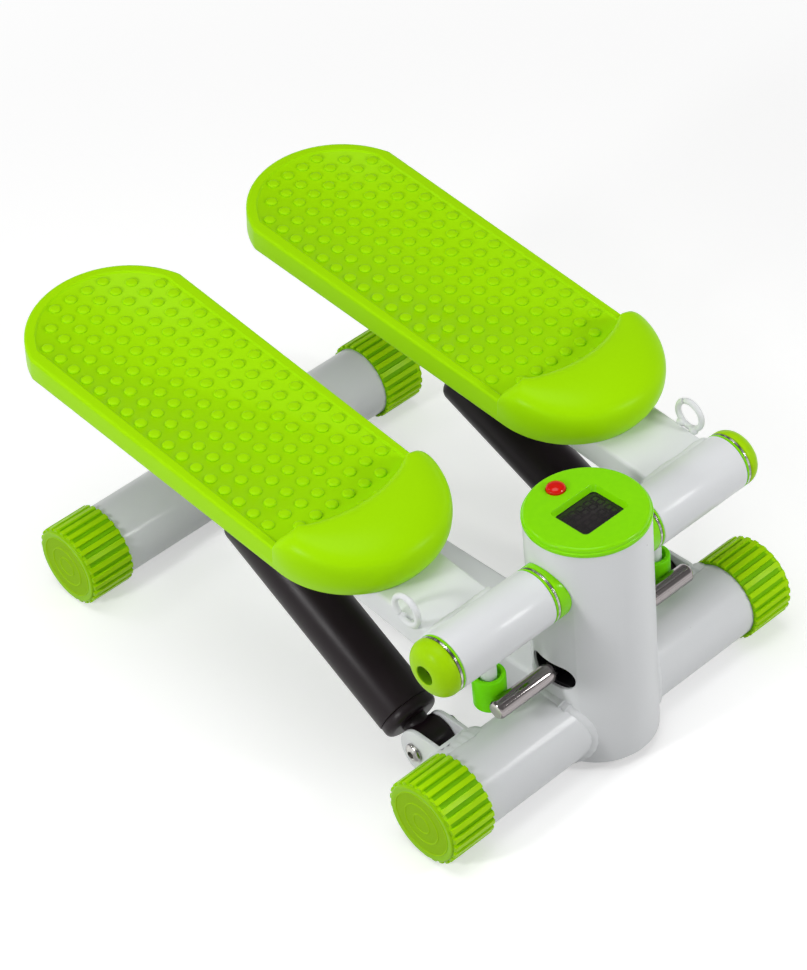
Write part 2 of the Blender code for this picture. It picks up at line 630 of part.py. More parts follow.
def plate_rings(stations):
    """Rings for a loft. A station is an inset, a height, and shares of the lip's depth, rise and flare."""
    rings = []
    edge_inset = stations[0][0]
    edges = plate_outline(edge_inset)
    for inset, height, depth, rise, flare in stations:
        ring = []
        for (across, along), edge in zip(plate_outline(inset), edges):
            past = (edge[1] - LIP_FADE_START) / (LIP_FADE_END - LIP_FADE_START)
            lip = math.sqrt(1 - min(max(past, 0.0), 1.0) ** 2)
            lip_across, lip_along, crest = lip_point(edge, edge_inset, depth, flare)
            across += lip * (lip_across - across)
            along += lip * (lip_along - along)
            ring.append((across, along, height + lip * rise * crest))
        rings.append(ring)
    return rings


def build_foot_plates(empties, finish):
    """A moulded shell: raised rim round a sunk deck, a rolled toe lip, and a grid of ribs underneath."""
    wall, under = PLATE_WALL, DECK_TOP - DECK_THICKNESS
    outside = plate_rings([
        (0, PLATE_BOTTOM, 0, 0, 0),
        (0, PLATE_BOTTOM + LIP_FLARE_HEIGHT, 0, 0, 0.62),
        (0, RIM_TOP - RIM_ROUND, 0, 0, 0.90),
        (RIM_ROUND * 0.3, RIM_TOP - RIM_ROUND * 0.3, 0.04, 0.38, 1.0),
        (RIM_ROUND, RIM_TOP, 0.17, 0.70, 0.75),
        (RIM_WIDTH * 0.5, RIM_TOP, 0.40, 0.92, 0.35),
        (RIM_WIDTH * 0.75, RIM_TOP, 0.70, 1.0, 0),
        (RIM_WIDTH, RIM_TOP, 0.90, 0.92, 0),
        (RIM_WIDTH + DECK_STEP / 2, RIM_TOP - DECK_STEP / 2, 0.98, 0.60, 0),
        (RIM_WIDTH + DECK_STEP, DECK_TOP, 1.0, 0, 0),
    ])
    plate = solid("plate_pattern", loft(outside), finish)
    ceiling = under - wall / 2
    inside = plate_rings([
        (wall, PLATE_BOTTOM - wall, 0, 0, 0),
        (wall, PLATE_BOTTOM, 0, 0, 0),
        (wall, PLATE_BOTTOM + LIP_FLARE_HEIGHT, 0, 0, 0.62),
        (wall, ceiling, 0, 0, 0.90),
        (wall + RIM_ROUND, under, 0.15, 0.60, 0.75),
        (wall + RIM_WIDTH * 0.5, under, 0.42, 0.88, 0.35),
        (wall + RIM_WIDTH * 0.75, under, 0.78, 0.94, 0),
        (wall + RIM_WIDTH, under, 0.97, 0, 0),
    ])
    cavity = solid("cavity", loft(inside))
    tall = PLATE_BOTTOM + PLATE_HEIGHT + LIP_RISE
    low, half = PLATE_BOTTOM - 2 * wall, RIB_THICKNESS / 2
    front, back = half_width(0), HEEL_CENTRE + HEEL_RADIUS
    ribs = []
    for across in (-LONG_RIB_X, LONG_RIB_X):
        ribs.append(block((across - half, -front, low), (across + half, back, tall)))
    for index in range(CROSS_RIBS):
        along = CROSS_RIB_START + index * CROSS_RIB_PITCH
        ribs.append(block((-front * 2, along - half, low), (front * 2, along + half, under + wall / 2)))
    combine(cavity, "DIFFERENCE", [solid("rib", rib) for rib in ribs])
    combine(plate, "DIFFERENCE", [cavity])
    for name, side in SIDES.items():
        frame = ARM_FRAME @ Matrix.Translation((side * ARM_CENTRE_X, 0, 0))
        placed(f"{name}_foot_plate", plate.data, finish, frame, empties[name])
    bpy.data.objects.remove(plate)


# Cylinders

def clevis_shape(half_gap, half_height, overhang, web):
    """A bent strip: ears along +Y round a pin on X, and a web at y = -web. Returns its blank and its trim."""
    outer = half_gap + CLEVIS_THICKNESS
    bend = CLEVIS_BEND
    edge = arc((-outer + bend, -web + bend), bend, math.pi, 1.5 * math.pi, 3)
    edge += arc((outer - bend, -web + bend), bend, 1.5 * math.pi, 2 * math.pi, 3)
    floor = -web + CLEVIS_THICKNESS
    edge += [(outer, overhang), (half_gap, overhang), (half_gap, floor)]
    edge += [(-half_gap, floor), (-half_gap, overhang), (-outer, overhang)]
    blank = prism(edge, -half_height, half_height)
    corner = min(overhang, half_height) * 0.9
    side = [(-half_height, -web)]
    side += arc((-half_height + corner, overhang - corner), corner, math.pi, math.pi / 2, 5)
    side += arc((half_height - corner, overhang - corner), corner, math.pi / 2, 0, 5) + [(half_height, -web)]
    return blank, prism(side, -2 * outer, 2 * outer, Matrix.Rotation(math.pi / 2, 4, "Y"))


def build_clevis(name, frame, finish, empty, half_gap, half_height, overhang, web, trims):
    blank, outline = clevis_shape(half_gap, half_height, overhang, web)
    clevis = solid(name, blank, finish, frame, empty)
    combine(clevis, "INTERSECT", [solid("trim", outline, None, frame)])
    hole = rod(PIN_RADIUS + SEAT_GAP, -0.5, 0.5, SMALL_STEPS, turn_to_x(1))
    combine(clevis, "DIFFERENCE", [solid("cutter", hole, None, frame)] + trims)


def lower_pin_frame(side):
    return Matrix.Translation((side * LOWER_PIN_X, POST_Y + LOWER_PIN_Y, LOWER_PIN_HEIGHT))


def upper_pin_frame(side):
    return ARM_FRAME @ Matrix.Translation((side * UPPER_PIN_X, UPPER_PIN_ALONG, -UPPER_PIN_DROP))


def build_lower_clevis(name, side, white, steel):
    frame = lower_pin_frame(side)
    build_clevis(f"{name}_clevis", frame, white, None, CLEVIS_HALF_GAP, CLEVIS_HALF_HEIGHT, CLEVIS_OVERHANG,
                 LOWER_PIN_Y - CLEVIS_WEB_Y, [base_tube_cutter(0)])
    face = CLEVIS_HALF_GAP + CLEVIS_THICKNESS + SEAT_GAP
    end = -face - NUT_HEIGHT - BOLT_END
    dome = [(BOLT_HEAD_RADIUS * math.sin(t), face + BOLT_HEAD_HEIGHT * (0.25 + 0.75 * math.cos(t)))
            for t in [step * math.pi / 8 for step in range(5)]]
    profile = dome + [(BOLT_HEAD_RADIUS, face), (PIN_RADIUS, face), (PIN_RADIUS, end), (0, end)]
    solid(f"{name}_clevis_bolt", turned(profile, SMALL_STEPS, turn_to_x(side)), steel, frame)
    nut = pipe(NUT_RADIUS, PIN_RADIUS + SEAT_GAP, -face - NUT_HEIGHT, -face, 6, turn_to_x(side))
    bore = rod(PIN_RADIUS + SEAT_GAP, -2 * face, 0, SMALL_STEPS, turn_to_x(side))
    nut_object = solid(f"{name}_clevis_nut", nut, steel, frame)
    combine(nut_object, "DIFFERENCE", [solid("cutter", bore, None, frame)])


def build_rod_bracket(name, side, empty, white, steel):
    """A clevis that hangs under the arm and holds the pin of the rod's eye."""
    half_gap = UPPER_EYE_WIDTH / 2 + ROD_EYE_SIDE_GAP
    web = UPPER_PIN_DROP + ARM_TOP - ARM_HEIGHT - SEAT_GAP
    frame = upper_pin_frame(side) @ Matrix.Rotation(-math.pi / 2, 4, "X")
    build_clevis(f"{name}_rod_bracket", frame, white, empty, half_gap, ROD_BRACKET_HALF_HEIGHT,
                 ROD_BRACKET_OVERHANG, web, [])
    face = half_gap + CLEVIS_THICKNESS + SEAT_GAP
    crown = face + BOLT_HEAD_HEIGHT / 2
    profile = [(0, crown), (BOLT_HEAD_RADIUS * 0.9, crown), (BOLT_HEAD_RADIUS, face)]
    profile += [(PIN_RADIUS, face), (PIN_RADIUS, -face - BOLT_END), (0, -face - BOLT_END)]
    pin = turned(profile, SMALL_STEPS, turn_to_x(side))
    solid(f"{name}_rod_pin", pin, steel, upper_pin_frame(side), empty)


def cylinder_frame(side):
    """Origin on the lower pin, Z along the cylinder to the upper pin, X nearly along the pins."""
    low, high = lower_pin_frame(side).translation, upper_pin_frame(side).translation
    along = (high - low).normalized()
    across = (Vector((1, 0, 0)) - along * along.x).normalized()
    square = along.cross(across)
    turn = Matrix((across, square, along)).transposed().to_4x4()
    return Matrix.Translation(low) @ turn, (high - low).length


def build_cylinder(name, side, empty, finish):
    frame, _ = cylinder_frame(side)
    end, top = BODY_START, BODY_START + BODY_LENGTH
    mouth = ROD_RADIUS + RUN_GAP
    lower_centre = (BODY_RADIUS - BODY_SHOULDER, end + BODY_SHOULDER)
    upper_centre = (BODY_RADIUS - BODY_CROWN, top - BODY_CROWN)
    profile = [(0, 0), (NECK_RADIUS, 0), (NECK_RADIUS, end)]
    profile += arc(lower_centre, BODY_SHOULDER, -math.pi / 2, 0, 3)
    profile += arc(upper_centre, BODY_CROWN, 0, math.pi / 2, 3)
    chamber, guide, floor = BODY_RADIUS - BODY_WALL, top - GUIDE_LENGTH, top - CHAMBER_DEPTH
    profile += [(mouth, top), (mouth, guide), (chamber, guide), (chamber, floor), (0, floor)]
    body = solid(f"{name}_cylinder", turned(profile, TUBE_STEPS), finish, frame, empty)
    pin = lower_pin_frame(side) @ turn_to_x(1)
    half = LOWER_EYE_WIDTH / 2
    combine(body, "UNION", [solid("eye", rod(LOWER_EYE_RADIUS, -half, half, MEDIUM_STEPS, pin))])
    bore = rod(PIN_RADIUS + RUN_GAP, -2 * half, 2 * half, SMALL_STEPS, pin)
    combine(body, "DIFFERENCE", [solid("cutter", bore)])


def build_rod(name, side, empty, finish):
    frame, length = cylinder_frame(side)
    start = BODY_START + BODY_LENGTH - ROD_INSERTION
    piston, crown = BODY_RADIUS - BODY_WALL - RUN_GAP, start + PISTON_LENGTH
    profile = [(0, start), (piston, start), (piston, crown)]
    profile += [(ROD_RADIUS, crown), (ROD_RADIUS, length), (0, length)]
    rod_object = solid(f"{name}_piston_rod", turned(profile, SMALL_STEPS), finish, frame, empty)
    pin = upper_pin_frame(side) @ turn_to_x(1)
    half = UPPER_EYE_WIDTH / 2
    combine(rod_object, "UNION", [solid("eye", rod(UPPER_EYE_RADIUS, -half, half, MEDIUM_STEPS, pin))])
    bore = rod(PIN_RADIUS + ROD_EYE_PLAY, -2 * half, 2 * half, MEDIUM_STEPS, pin)
    combine(rod_object, "DIFFERENCE", [solid("cutter", bore)])


# Display

def build_display(green, glass, dark, red):
    frame = Matrix.Translation((0, POST_Y, POST_TOP + SEAT_GAP))
    flange = POST_RADIUS + COVER_OVERHANG
    upper = flange - COVER_STEP
    top = COVER_FLANGE_HEIGHT + COVER_TOP_HEIGHT
    under = top - COVER_PLATE
    plug = POST_RADIUS - POST_WALL - SEAT_GAP
    inner = plug - COVER_SKIRT_WALL
    rounding = arc((upper - COVER_ROUND, top - COVER_ROUND), COVER_ROUND, math.pi / 2, 0, 3)
    profile = [(0, top)] + rounding + [(upper, COVER_FLANGE_HEIGHT), (flange, COVER_FLANGE_HEIGHT)]
    profile += [(flange, 0), (plug, 0), (plug, -COVER_SKIRT), (inner, -COVER_SKIRT)]
    profile += [(inner, under), (0, under)]
    cover = solid("display_cover", turned(profile, LARGE_STEPS), green, frame)
    rings = []
    for height in (under - COVER_PLATE / 4, top + COVER_PLATE / 4):
        shrink = 2 * WINDOW_TAPER * (top - height) / COVER_PLATE
        outline = round_rectangle(WINDOW_WIDTH - shrink, WINDOW_DEPTH - shrink, WINDOW_CORNER)
        rings.append([(x, y + WINDOW_Y, height) for x, y in outline])
    place = Matrix.Translation((0, BUTTON_Y, 0))
    hole = rod(BUTTON_RADIUS + RUN_GAP, -COVER_SKIRT, 2 * top, MEDIUM_STEPS, place)
    combine(cover, "DIFFERENCE", [solid("cutter", shape, None, frame) for shape in (loft(rings), hole)])
    middle = Matrix.Translation((0, WINDOW_Y, 0))
    ceiling = under - SEAT_GAP
    pane = round_rectangle(WINDOW_WIDTH + 2 * GLASS_MARGIN, WINDOW_DEPTH + 2 * GLASS_MARGIN, WINDOW_CORNER)
    solid("display_glass", prism(pane, ceiling - GLASS_THICKNESS, ceiling, middle), glass, frame)
    ceiling -= GLASS_THICKNESS + SEAT_GAP
    case = round_rectangle(WINDOW_WIDTH + 2 * MODULE_MARGIN, WINDOW_DEPTH + 2 * MODULE_MARGIN, WINDOW_CORNER)
    solid("display_module", prism(case, ceiling - MODULE_HEIGHT, ceiling, middle), dark, frame)
    build_button(frame @ place, top, under, red)


def build_button(frame, top, under, finish):
    empty = joint_empty("button_axis", frame)
    crown = top + BUTTON_RISE
    seat = under - SEAT_GAP
    foot = seat - BUTTON_FLANGE_HEIGHT
    ring = BUTTON_RADIUS + BUTTON_FLANGE
    dome = [(BUTTON_RADIUS * math.sin(t), crown + BUTTON_DOME * math.cos(t))
            for t in [step * math.pi / 8 for step in range(5)]]
    profile = dome + [(BUTTON_RADIUS, seat), (ring, seat), (ring, foot), (0, foot)]
    solid("display_button", turned(profile, MEDIUM_STEPS), finish, frame, empty)


def main():
    for old in list(bpy.data.objects):
        bpy.data.objects.remove(old)
    white = material("white_paint", (0.82, 0.84, 0.86), 0.25)
    lime = material("lime_plate", (0.36, 0.74, 0.003), 0.45)
    green = material("green_plastic", (0.16, 0.66, 0.0), 0.35)
    cap_green = material("cap_rubber", (0.21, 0.53, 0.0), 0.55)
    dome_green = material("dome_plastic", (0.26, 0.60, 0.0), 0.4)
    bumper_green = material("bumper_rubber", (0.10, 0.56, 0.01), 0.5)
    black = material("black_paint", (0.012, 0.011, 0.013), 0.35)
    nylon = material("black_nylon", (0.01, 0.01, 0.012), 0.5)
    steel = material("zinc_steel", (0.55, 0.54, 0.52), 0.35, 1.0)
    chrome = material("chrome", (0.62, 0.60, 0.60), 0.12, 1.0)
    glass = material("display_glass", (0.02, 0.018, 0.02), 0.15)
    red = material("red_button", (0.75, 0.02, 0.005), 0.15)

    build_post(white)
    build_base_tubes(white)
    build_spine(white)
    build_foot_caps(cap_green)
    build_pivot_stack(steel, green, dome_green)
    build_rocker(chrome, steel, nylon)
    arm_empties = {}
    for name, side in SIDES.items():
        arm_empties[name] = joint_empty(f"{name}_arm_axis", ARM_FRAME)
        build_arm(name, side, arm_empties[name], {"white": white, "green": green, "bumper": bumper_green})
        build_rod_bracket(name, side, arm_empties[name], white, steel)
        build_lower_clevis(name, side, white, steel)
        cylinder_empty = joint_empty(f"{name}_cylinder_axis", lower_pin_frame(side))
        build_cylinder(name, side, cylinder_empty, black)
        build_rod(name, side, cylinder_empty, chrome)
    build_foot_plates(arm_empties, lime)
    build_display(green, glass, nylon, red)


main()
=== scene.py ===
# %% [markdown]
# # A mini stepper in studio light
# The packed solids are the skeleton of the stepper: two foot plates on hinged arms, a rocker bar that
# makes one plate rise as the other sinks, two damping cylinders and a counter on a post. Each solid in
# view gets a finely modelled piece laid over it, in the same metres and axes. +Z is up, the post stands
# toward -Y, the heels point to +Y, and left is +X, the left hand of a user who stands on the plates.

import json
import math

import bmesh
import bpy
from mathutils import Matrix, Vector


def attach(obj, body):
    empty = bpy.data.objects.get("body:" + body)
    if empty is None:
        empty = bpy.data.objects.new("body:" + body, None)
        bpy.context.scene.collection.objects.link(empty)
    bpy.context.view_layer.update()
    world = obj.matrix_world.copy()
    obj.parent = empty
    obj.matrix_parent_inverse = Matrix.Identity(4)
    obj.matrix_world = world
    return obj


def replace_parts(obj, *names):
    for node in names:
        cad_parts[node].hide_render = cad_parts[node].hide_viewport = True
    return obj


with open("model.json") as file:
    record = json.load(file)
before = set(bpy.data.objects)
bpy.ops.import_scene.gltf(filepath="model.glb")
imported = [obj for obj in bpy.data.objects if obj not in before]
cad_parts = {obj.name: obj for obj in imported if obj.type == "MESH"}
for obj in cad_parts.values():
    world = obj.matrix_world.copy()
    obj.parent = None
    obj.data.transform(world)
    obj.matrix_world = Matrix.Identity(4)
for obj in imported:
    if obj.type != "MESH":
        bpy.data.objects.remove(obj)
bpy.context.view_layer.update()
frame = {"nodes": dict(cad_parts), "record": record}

# %% [markdown]
# ## Where things turn
# Nearly everything on this machine is placed from two lines: the post's upright axis and the pivot that
# runs across it. Writing both as matrices means that a piece can be modelled flat and straight and then
# put in place by one product, which is easier to read than adding offsets to every point. The base stands
# on the flat lands of its ribbed caps, which sets the height of its tubes.

# %% The post's axis and the arms' own frame
POST_Y = -0.167008
PIVOT_HEIGHT = 0.1379
ARM_PITCH = math.radians(7.48)
SIDES = {"left": 1, "right": -1}
REAR_TUBE_Y = 0.3398
CAP_RIB_RADIUS = 0.02834
CAP_RIBS = 26
LAND_SHARE = 0.40
BASE_HEIGHT = CAP_RIB_RADIUS * math.cos(math.pi / CAP_RIBS * LAND_SHARE)
BAR_HEIGHT = 0.0733
BAR_RADIUS = 0.0062
DECK_TOP = 0.0254
DOME_HOLE = 0.006
BASE_AXIS = {"front": Matrix.Translation((0, POST_Y, BASE_HEIGHT)),
             "rear": Matrix.Translation((0, POST_Y + REAR_TUBE_Y, BASE_HEIGHT))}
PIVOT = Matrix.Translation((0, POST_Y, PIVOT_HEIGHT))
ARM = PIVOT @ Matrix.Rotation(ARM_PITCH, 4, "X")
TURN_TO_Y = Matrix.Rotation(-math.pi / 2, 4, "X")


def turn_to_x(side):
    """Lays local Z along +X on the left and along -X on the right."""
    return Matrix.Rotation(side * math.pi / 2, 4, "Y")


print("pivot at", PIVOT.translation[:])

# %% [markdown]
# ## Sums on shader sockets
# Node trees grow unreadable when each Math node is made by hand. A small class that holds one socket and
# knows the arithmetic signs lets a finish be written as a formula. Its one other method adds any node.

# %% A socket that does sums
class Wire:
    """A shader socket. Sums on it add Math nodes, and node() adds a node of any other kind."""

    def __init__(self, tree, socket):
        self.tree = tree
        self.socket = socket

    def node(self, kind, settings=None, sockets=None, output=0):
        made = self.tree.nodes.new("ShaderNode" + kind)
        for name, value in (settings or {}).items():
            setattr(made, name, value)
        for name, value in (sockets or {}).items():
            if isinstance(value, Wire):
                self.tree.links.new(value.socket, made.inputs[name])
            else:
                made.inputs[name].default_value = value
        return Wire(self.tree, made.outputs[output])

    def calculate(self, operation, first, second):
        return self.node("Math", {"operation": operation}, {0: first, 1: second})

    def __add__(self, other):
        return self.calculate("ADD", self, other)

    def __radd__(self, other):
        return self.calculate("ADD", other, self)

    def __sub__(self, other):
        return self.calculate("SUBTRACT", self, other)

    def __rsub__(self, other):
        return self.calculate("SUBTRACT", other, self)

    def __mul__(self, other):
        return self.calculate("MULTIPLY", self, other)

    def __rmul__(self, other):
        return self.calculate("MULTIPLY", other, self)


print("sums ready:", [name for name in vars(Wire) if name.startswith("__r")])

# %% [markdown]
# ## A palette of small patterns
# Every finish below is made of the same few ingredients: cloudy noise, scattered specks, a soft
# threshold, a mix of two colours and a bump. They read the piece's own coordinates in metres, so a scale
# of 1000 gives features about a millimetre across on any piece.

# %% Patterns
def noise(place, scale, detail=2.0):
    return place.node("TexNoise", {}, {"Vector": place, "Scale": scale, "Detail": detail})


def specks(place, scale, size):
    """Small round dots, scattered one to a cell."""
    cell = place.node("TexVoronoi", {}, {"Vector": place, "Scale": scale})
    return 1 - soft_step(cell, size * 0.5, size)


def soft_step(value, low, high):
    limits = {"Value": value, "From Min": low, "From Max": high}
    return value.node("MapRange", {"interpolation_type": "SMOOTHSTEP"}, limits)


def stretched(place, scale):
    return place.node("Mapping", {}, {"Vector": place, "Scale": scale})


def component(place, axis):
    return place.node("SeparateXYZ", {}, {0: place}, axis)


print("patterns", [made.__name__ for made in (noise, specks, soft_step, stretched, component)])


# %% Colours, bumps and new finishes
def tint(mask, first, second):
    """Goes from the first colour to the second as the mask goes from 0 to 1."""
    return mask.node("Mix", {"data_type": "RGBA"}, {0: mask, 6: first, 7: second}, 2)


def relief(height, depth, strength=1.0):
    return height.node("Bump", {}, {"Height": height, "Distance": depth, "Strength": strength})


def new_finish(name, uniform):
    """A material with uniform values on its shader. Gives it, its shader and the piece's coordinates."""
    made = bpy.data.materials.new(name)
    made.use_nodes = True
    tree = made.node_tree
    shader = tree.nodes["Principled BSDF"]
    for socket, value in uniform.items():
        shader.inputs[socket].default_value = value
    place = Wire(tree, tree.nodes.new("ShaderNodeTexCoord").outputs["Object"])
    return made, shader, place


def plug(shader, socket, wire):
    wire.tree.links.new(wire.socket, shader.inputs[socket])


def colour(red, green, blue):
    return (red, green, blue, 1.0)


FINISHES = {}
print("finishes so far", len(FINISHES))

# %% [markdown]
# ## White powder coat
# The frame is sprayed with powder and baked, which leaves a glossy skin with a faint orange peel and here
# and there a speck of dust under the paint. The peel is a millimetre-scale noise that only bends the
# normal, the specks are cells kept in a few cloudy places, and a thin clear coat carries the sharp
# reflection.

# %% White paint
def white_powder_coat():
    gloss = {"Specular IOR Level": 0.14, "Coat Weight": 0.13, "Coat Roughness": 0.10}
    made, shader, place = new_finish("white_powder_coat", gloss)
    cloud = noise(place, 16.0, 3.0)
    dust = specks(place, 70.0, 0.036) * soft_step(noise(place, 31.0), 0.56, 0.60)
    paint = tint(cloud, colour(0.735, 0.750, 0.765), colour(0.785, 0.800, 0.812))
    plug(shader, "Base Color", tint(dust * 0.75, paint, colour(0.16, 0.15, 0.15)))
    plug(shader, "Roughness", 0.27 + 0.14 * cloud)
    plug(shader, "Normal", relief(noise(place, 850.0, 1.0), 0.00006, 0.35))
    return made


FINISHES["white_paint"] = white_powder_coat()
print("finish", FINISHES["white_paint"].name)

# %% [markdown]
# ## Lime and green mouldings
# The foot plates are satin polypropylene with a fine spark-eroded grain; the collars and the display
# cover are a glossier, bluer green; the bumpers are softer and duller. They are the same recipe with
# other numbers: a slow drift in colour as in any moulding, a grain in the normal, and a roughness that
# follows it. Two take a deeper green where a mask says so, at the feet of the deck's studs and in the
# holes of the domes. That is painted shade, put in because the picture is darker in those hollows than
# the lamps alone make them.

# %% A recipe for moulded plastic
def moulding(name, dark, light, gloss, roughness, grain, depth, mask=None, second=None):
    made, shader, place = new_finish(name, {"Specular IOR Level": gloss})
    drift = noise(place, 24.0, 4.0)
    spark = noise(place, grain, 3.0)
    fleck = soft_step(noise(place, grain * 0.37, 2.0), 0.35, 0.75)
    body = tint(0.7 * drift + 0.3 * fleck, colour(*dark), colour(*light))
    # A mask, where given, paints shade into hollows by going over to the second, darker colour.
    if mask:
        body = tint(mask(place), body, colour(*second))
    plug(shader, "Base Color", body)
    plug(shader, "Roughness", (roughness - 0.07) + 0.14 * spark)
    plug(shader, "Normal", relief(spark, depth, 0.35))
    return made


def stud_feet_painted_shade(place):
    """Painted shade at the studs' feet: a band just above the deck's plane, which leans with the arm."""
    lean = ARM.to_3x3() @ Vector((0, 0, 1))
    level = lean.dot(ARM @ Vector((0, 0, DECK_TOP)))
    height = place.node("VectorMath", {"operation": "DOT_PRODUCT"}, {0: place, 1: lean}, 1) - level
    return 0.85 - 0.85 * soft_step(height, 0.0001, 0.0007)


# Painted shade: a deeper green inside the dome's hole, out to a little past its radius from the pivot axis.
def dome_hole_painted_shade(place):
    along, up = component(place, 1) - POST_Y, component(place, 2) - PIVOT_HEIGHT
    return 0.8 - 0.8 * soft_step(along * along + up * up, DOME_HOLE**2, (DOME_HOLE + 0.0006) ** 2)


LIME = {"dark": (0.360, 0.748, 0.0010), "light": (0.382, 0.777, 0.0014), "gloss": 0.045,
        "roughness": 0.30, "grain": 1500.0, "depth": 0.00004}
FINISHES["lime_plate"] = moulding("satin_lime", **LIME)
# The studs' finish has painted shade, a deeper green, at their feet.
FINISHES["lime_stud_painted_shade"] = moulding("lime_stud_painted_shade", **LIME, mask=stud_feet_painted_shade, second=(0.230, 0.560, 0.0010))
FINISHES["green_plastic"] = moulding("gloss_green", (0.225, 0.715, 0.0010), (0.265, 0.775, 0.0014),
                                     gloss=0.16, roughness=0.17, grain=700.0, depth=0.00001)
# The domes' finish has painted shade, a deeper green, in their holes.
FINISHES["dome_plastic"] = moulding("satin_dome_painted_shade", (0.340, 0.640, 0.0012), (0.390, 0.710, 0.0020),
                                    gloss=0.08, roughness=0.34, grain=1100.0, depth=0.00003,
                                    mask=dome_hole_painted_shade, second=(0.080, 0.270, 0.0010))
FINISHES["bumper_rubber"] = moulding("bumper_green", (0.165, 0.730, 0.0012), (0.195, 0.800, 0.0020),
                                     gloss=0.12, roughness=0.34, grain=1300.0, depth=0.00003)
print("mouldings", sorted(FINISHES))

# %% [markdown]
# ## Foot cap rubber
# The caps shine a little along their ribs, are a deeper green in their grooves, which is painted shade,
# and have a dull speckled texture inside the outer ring of each end face, with the raised rings a shade
# lighter, which is a painted highlight. All of that depends only on two things: how far out along X a
# point lies and how far it is from the tube's axis, so both are worked out first.

# %% Foot caps
CAP_FACE_X = 0.1458
CAP_CIRCLES = (0.0219, 0.0140, 0.0067)


def cap_rubber():
    made, shader, place = new_finish("cap_rubber", {"Specular IOR Level": 0.08})
    across, along, up = [component(place, axis) for axis in range(3)]
    front = across.calculate("ABSOLUTE", along - POST_Y, 0)
    rear = across.calculate("ABSOLUTE", along - (POST_Y + REAR_TUBE_Y), 0)
    aside = across.calculate("MINIMUM", front, rear)
    rise = up - BASE_HEIGHT
    reach = across.calculate("SQRT", aside * aside + rise * rise, 0)
    face = soft_step(across * across, CAP_FACE_X**2, (CAP_FACE_X + 0.0004) ** 2)
    # Painted shade: the grooves between the ribs, short of the rim, go a deeper green.
    groove_painted_shade = 1 - soft_step(reach, CAP_RIB_RADIUS - 0.0017, CAP_RIB_RADIUS - 0.0004)
    groove_painted_shade = groove_painted_shade * (1 - soft_step(across * across, (CAP_FACE_X - 0.0022) ** 2, (CAP_FACE_X - 0.0014) ** 2))
    # Painted highlight: the three raised rings on the end face go a lighter green.
    ring_painted_highlight = 0
    for radius in CAP_CIRCLES:
        ring_painted_highlight = ring_painted_highlight + (1 - soft_step(across.calculate("ABSOLUTE", reach - radius, 0), 0.0002, 0.0007))
    drift = noise(place, 30.0, 3.0)
    speckle = noise(place, 1900.0, 2.0)
    crest = tint(drift, colour(0.400, 0.750, 0.0015), colour(0.445, 0.810, 0.0025))
    # The painted shade in the grooves is laid on here.
    side = tint(groove_painted_shade, crest, colour(0.225, 0.560, 0.0012))
    side = tint(face * 0.75, side, colour(0.250, 0.540, 0.0015))
    end = tint(speckle, colour(0.225, 0.445, 0.0020), colour(0.325, 0.600, 0.0035))
    # The painted highlight on the raised rings is laid on here.
    end = tint(ring_painted_highlight * 0.45, end, colour(0.420, 0.720, 0.0050))
    inside = face * (1 - soft_step(reach, CAP_CIRCLES[0], CAP_CIRCLES[0] + 0.0006))
    plug(shader, "Base Color", tint(inside, side, end))
    plug(shader, "Roughness", 0.27 + 0.26 * inside + 0.30 * groove_painted_shade + 0.08 * speckle)
    plug(shader, "Normal", relief(speckle, 0.00012, 0.14 + 0.45 * inside))
    return made


FINISHES["cap_rubber"] = cap_rubber()
print("finish", FINISHES["cap_rubber"].name)

# %% [markdown]
# ## Black paint and black nylon
# The cylinders are dipped in a warm black enamel that flows into long soft waves. The pale band along
# them is only the left lamp in a satin surface, so the finish just sets how far the enamel spreads that
# light. The nylon pieces are dry and scattered with moulding grain.

# %% Blacks
def black_enamel():
    made, shader, place = new_finish("black_enamel", {"Specular IOR Level": 0.23})
    drift = noise(place, 45.0, 3.0)
    flow = noise(stretched(place, (420.0, 90.0, 160.0)), 1.0, 2.0)
    plug(shader, "Base Color", tint(drift, colour(0.0095, 0.0050, 0.0070), colour(0.0150, 0.0090, 0.0115)))
    plug(shader, "Roughness", 0.32 + 0.12 * drift)
    plug(shader, "Normal", relief(flow, 0.00006, 0.30))
    return made


def black_nylon():
    made, shader, place = new_finish("black_nylon", {"Specular IOR Level": 0.20})
    grain = noise(place, 1300.0, 2.0)
    plug(shader, "Base Color", tint(grain, colour(0.0080, 0.0080, 0.0090), colour(0.0150, 0.0145, 0.0160)))
    plug(shader, "Roughness", 0.42 + 0.20 * grain)
    plug(shader, "Normal", relief(grain, 0.00005, 0.4))
    return made


FINISHES["black_paint"] = black_enamel()
FINISHES["black_nylon"] = black_nylon()
print("blacks", FINISHES["black_paint"].name, FINISHES["black_nylon"].name)

# %% [markdown]
# ## Chrome and zinc
# The rocker bar is drawn steel with a bright plate, and its sawn ends are dull. A mirror shows only what
# stands round it: the dim top of the studio gives the bar its dark band, the front lamp a streak, and the
# floor its pale half. Fine draw lines along the bar fray the borders between them. Washers, bolts and
# nuts are zinc plated, which is greyer, with a patchy bloom.

# %% Metals
BAR_END_X = 0.0823


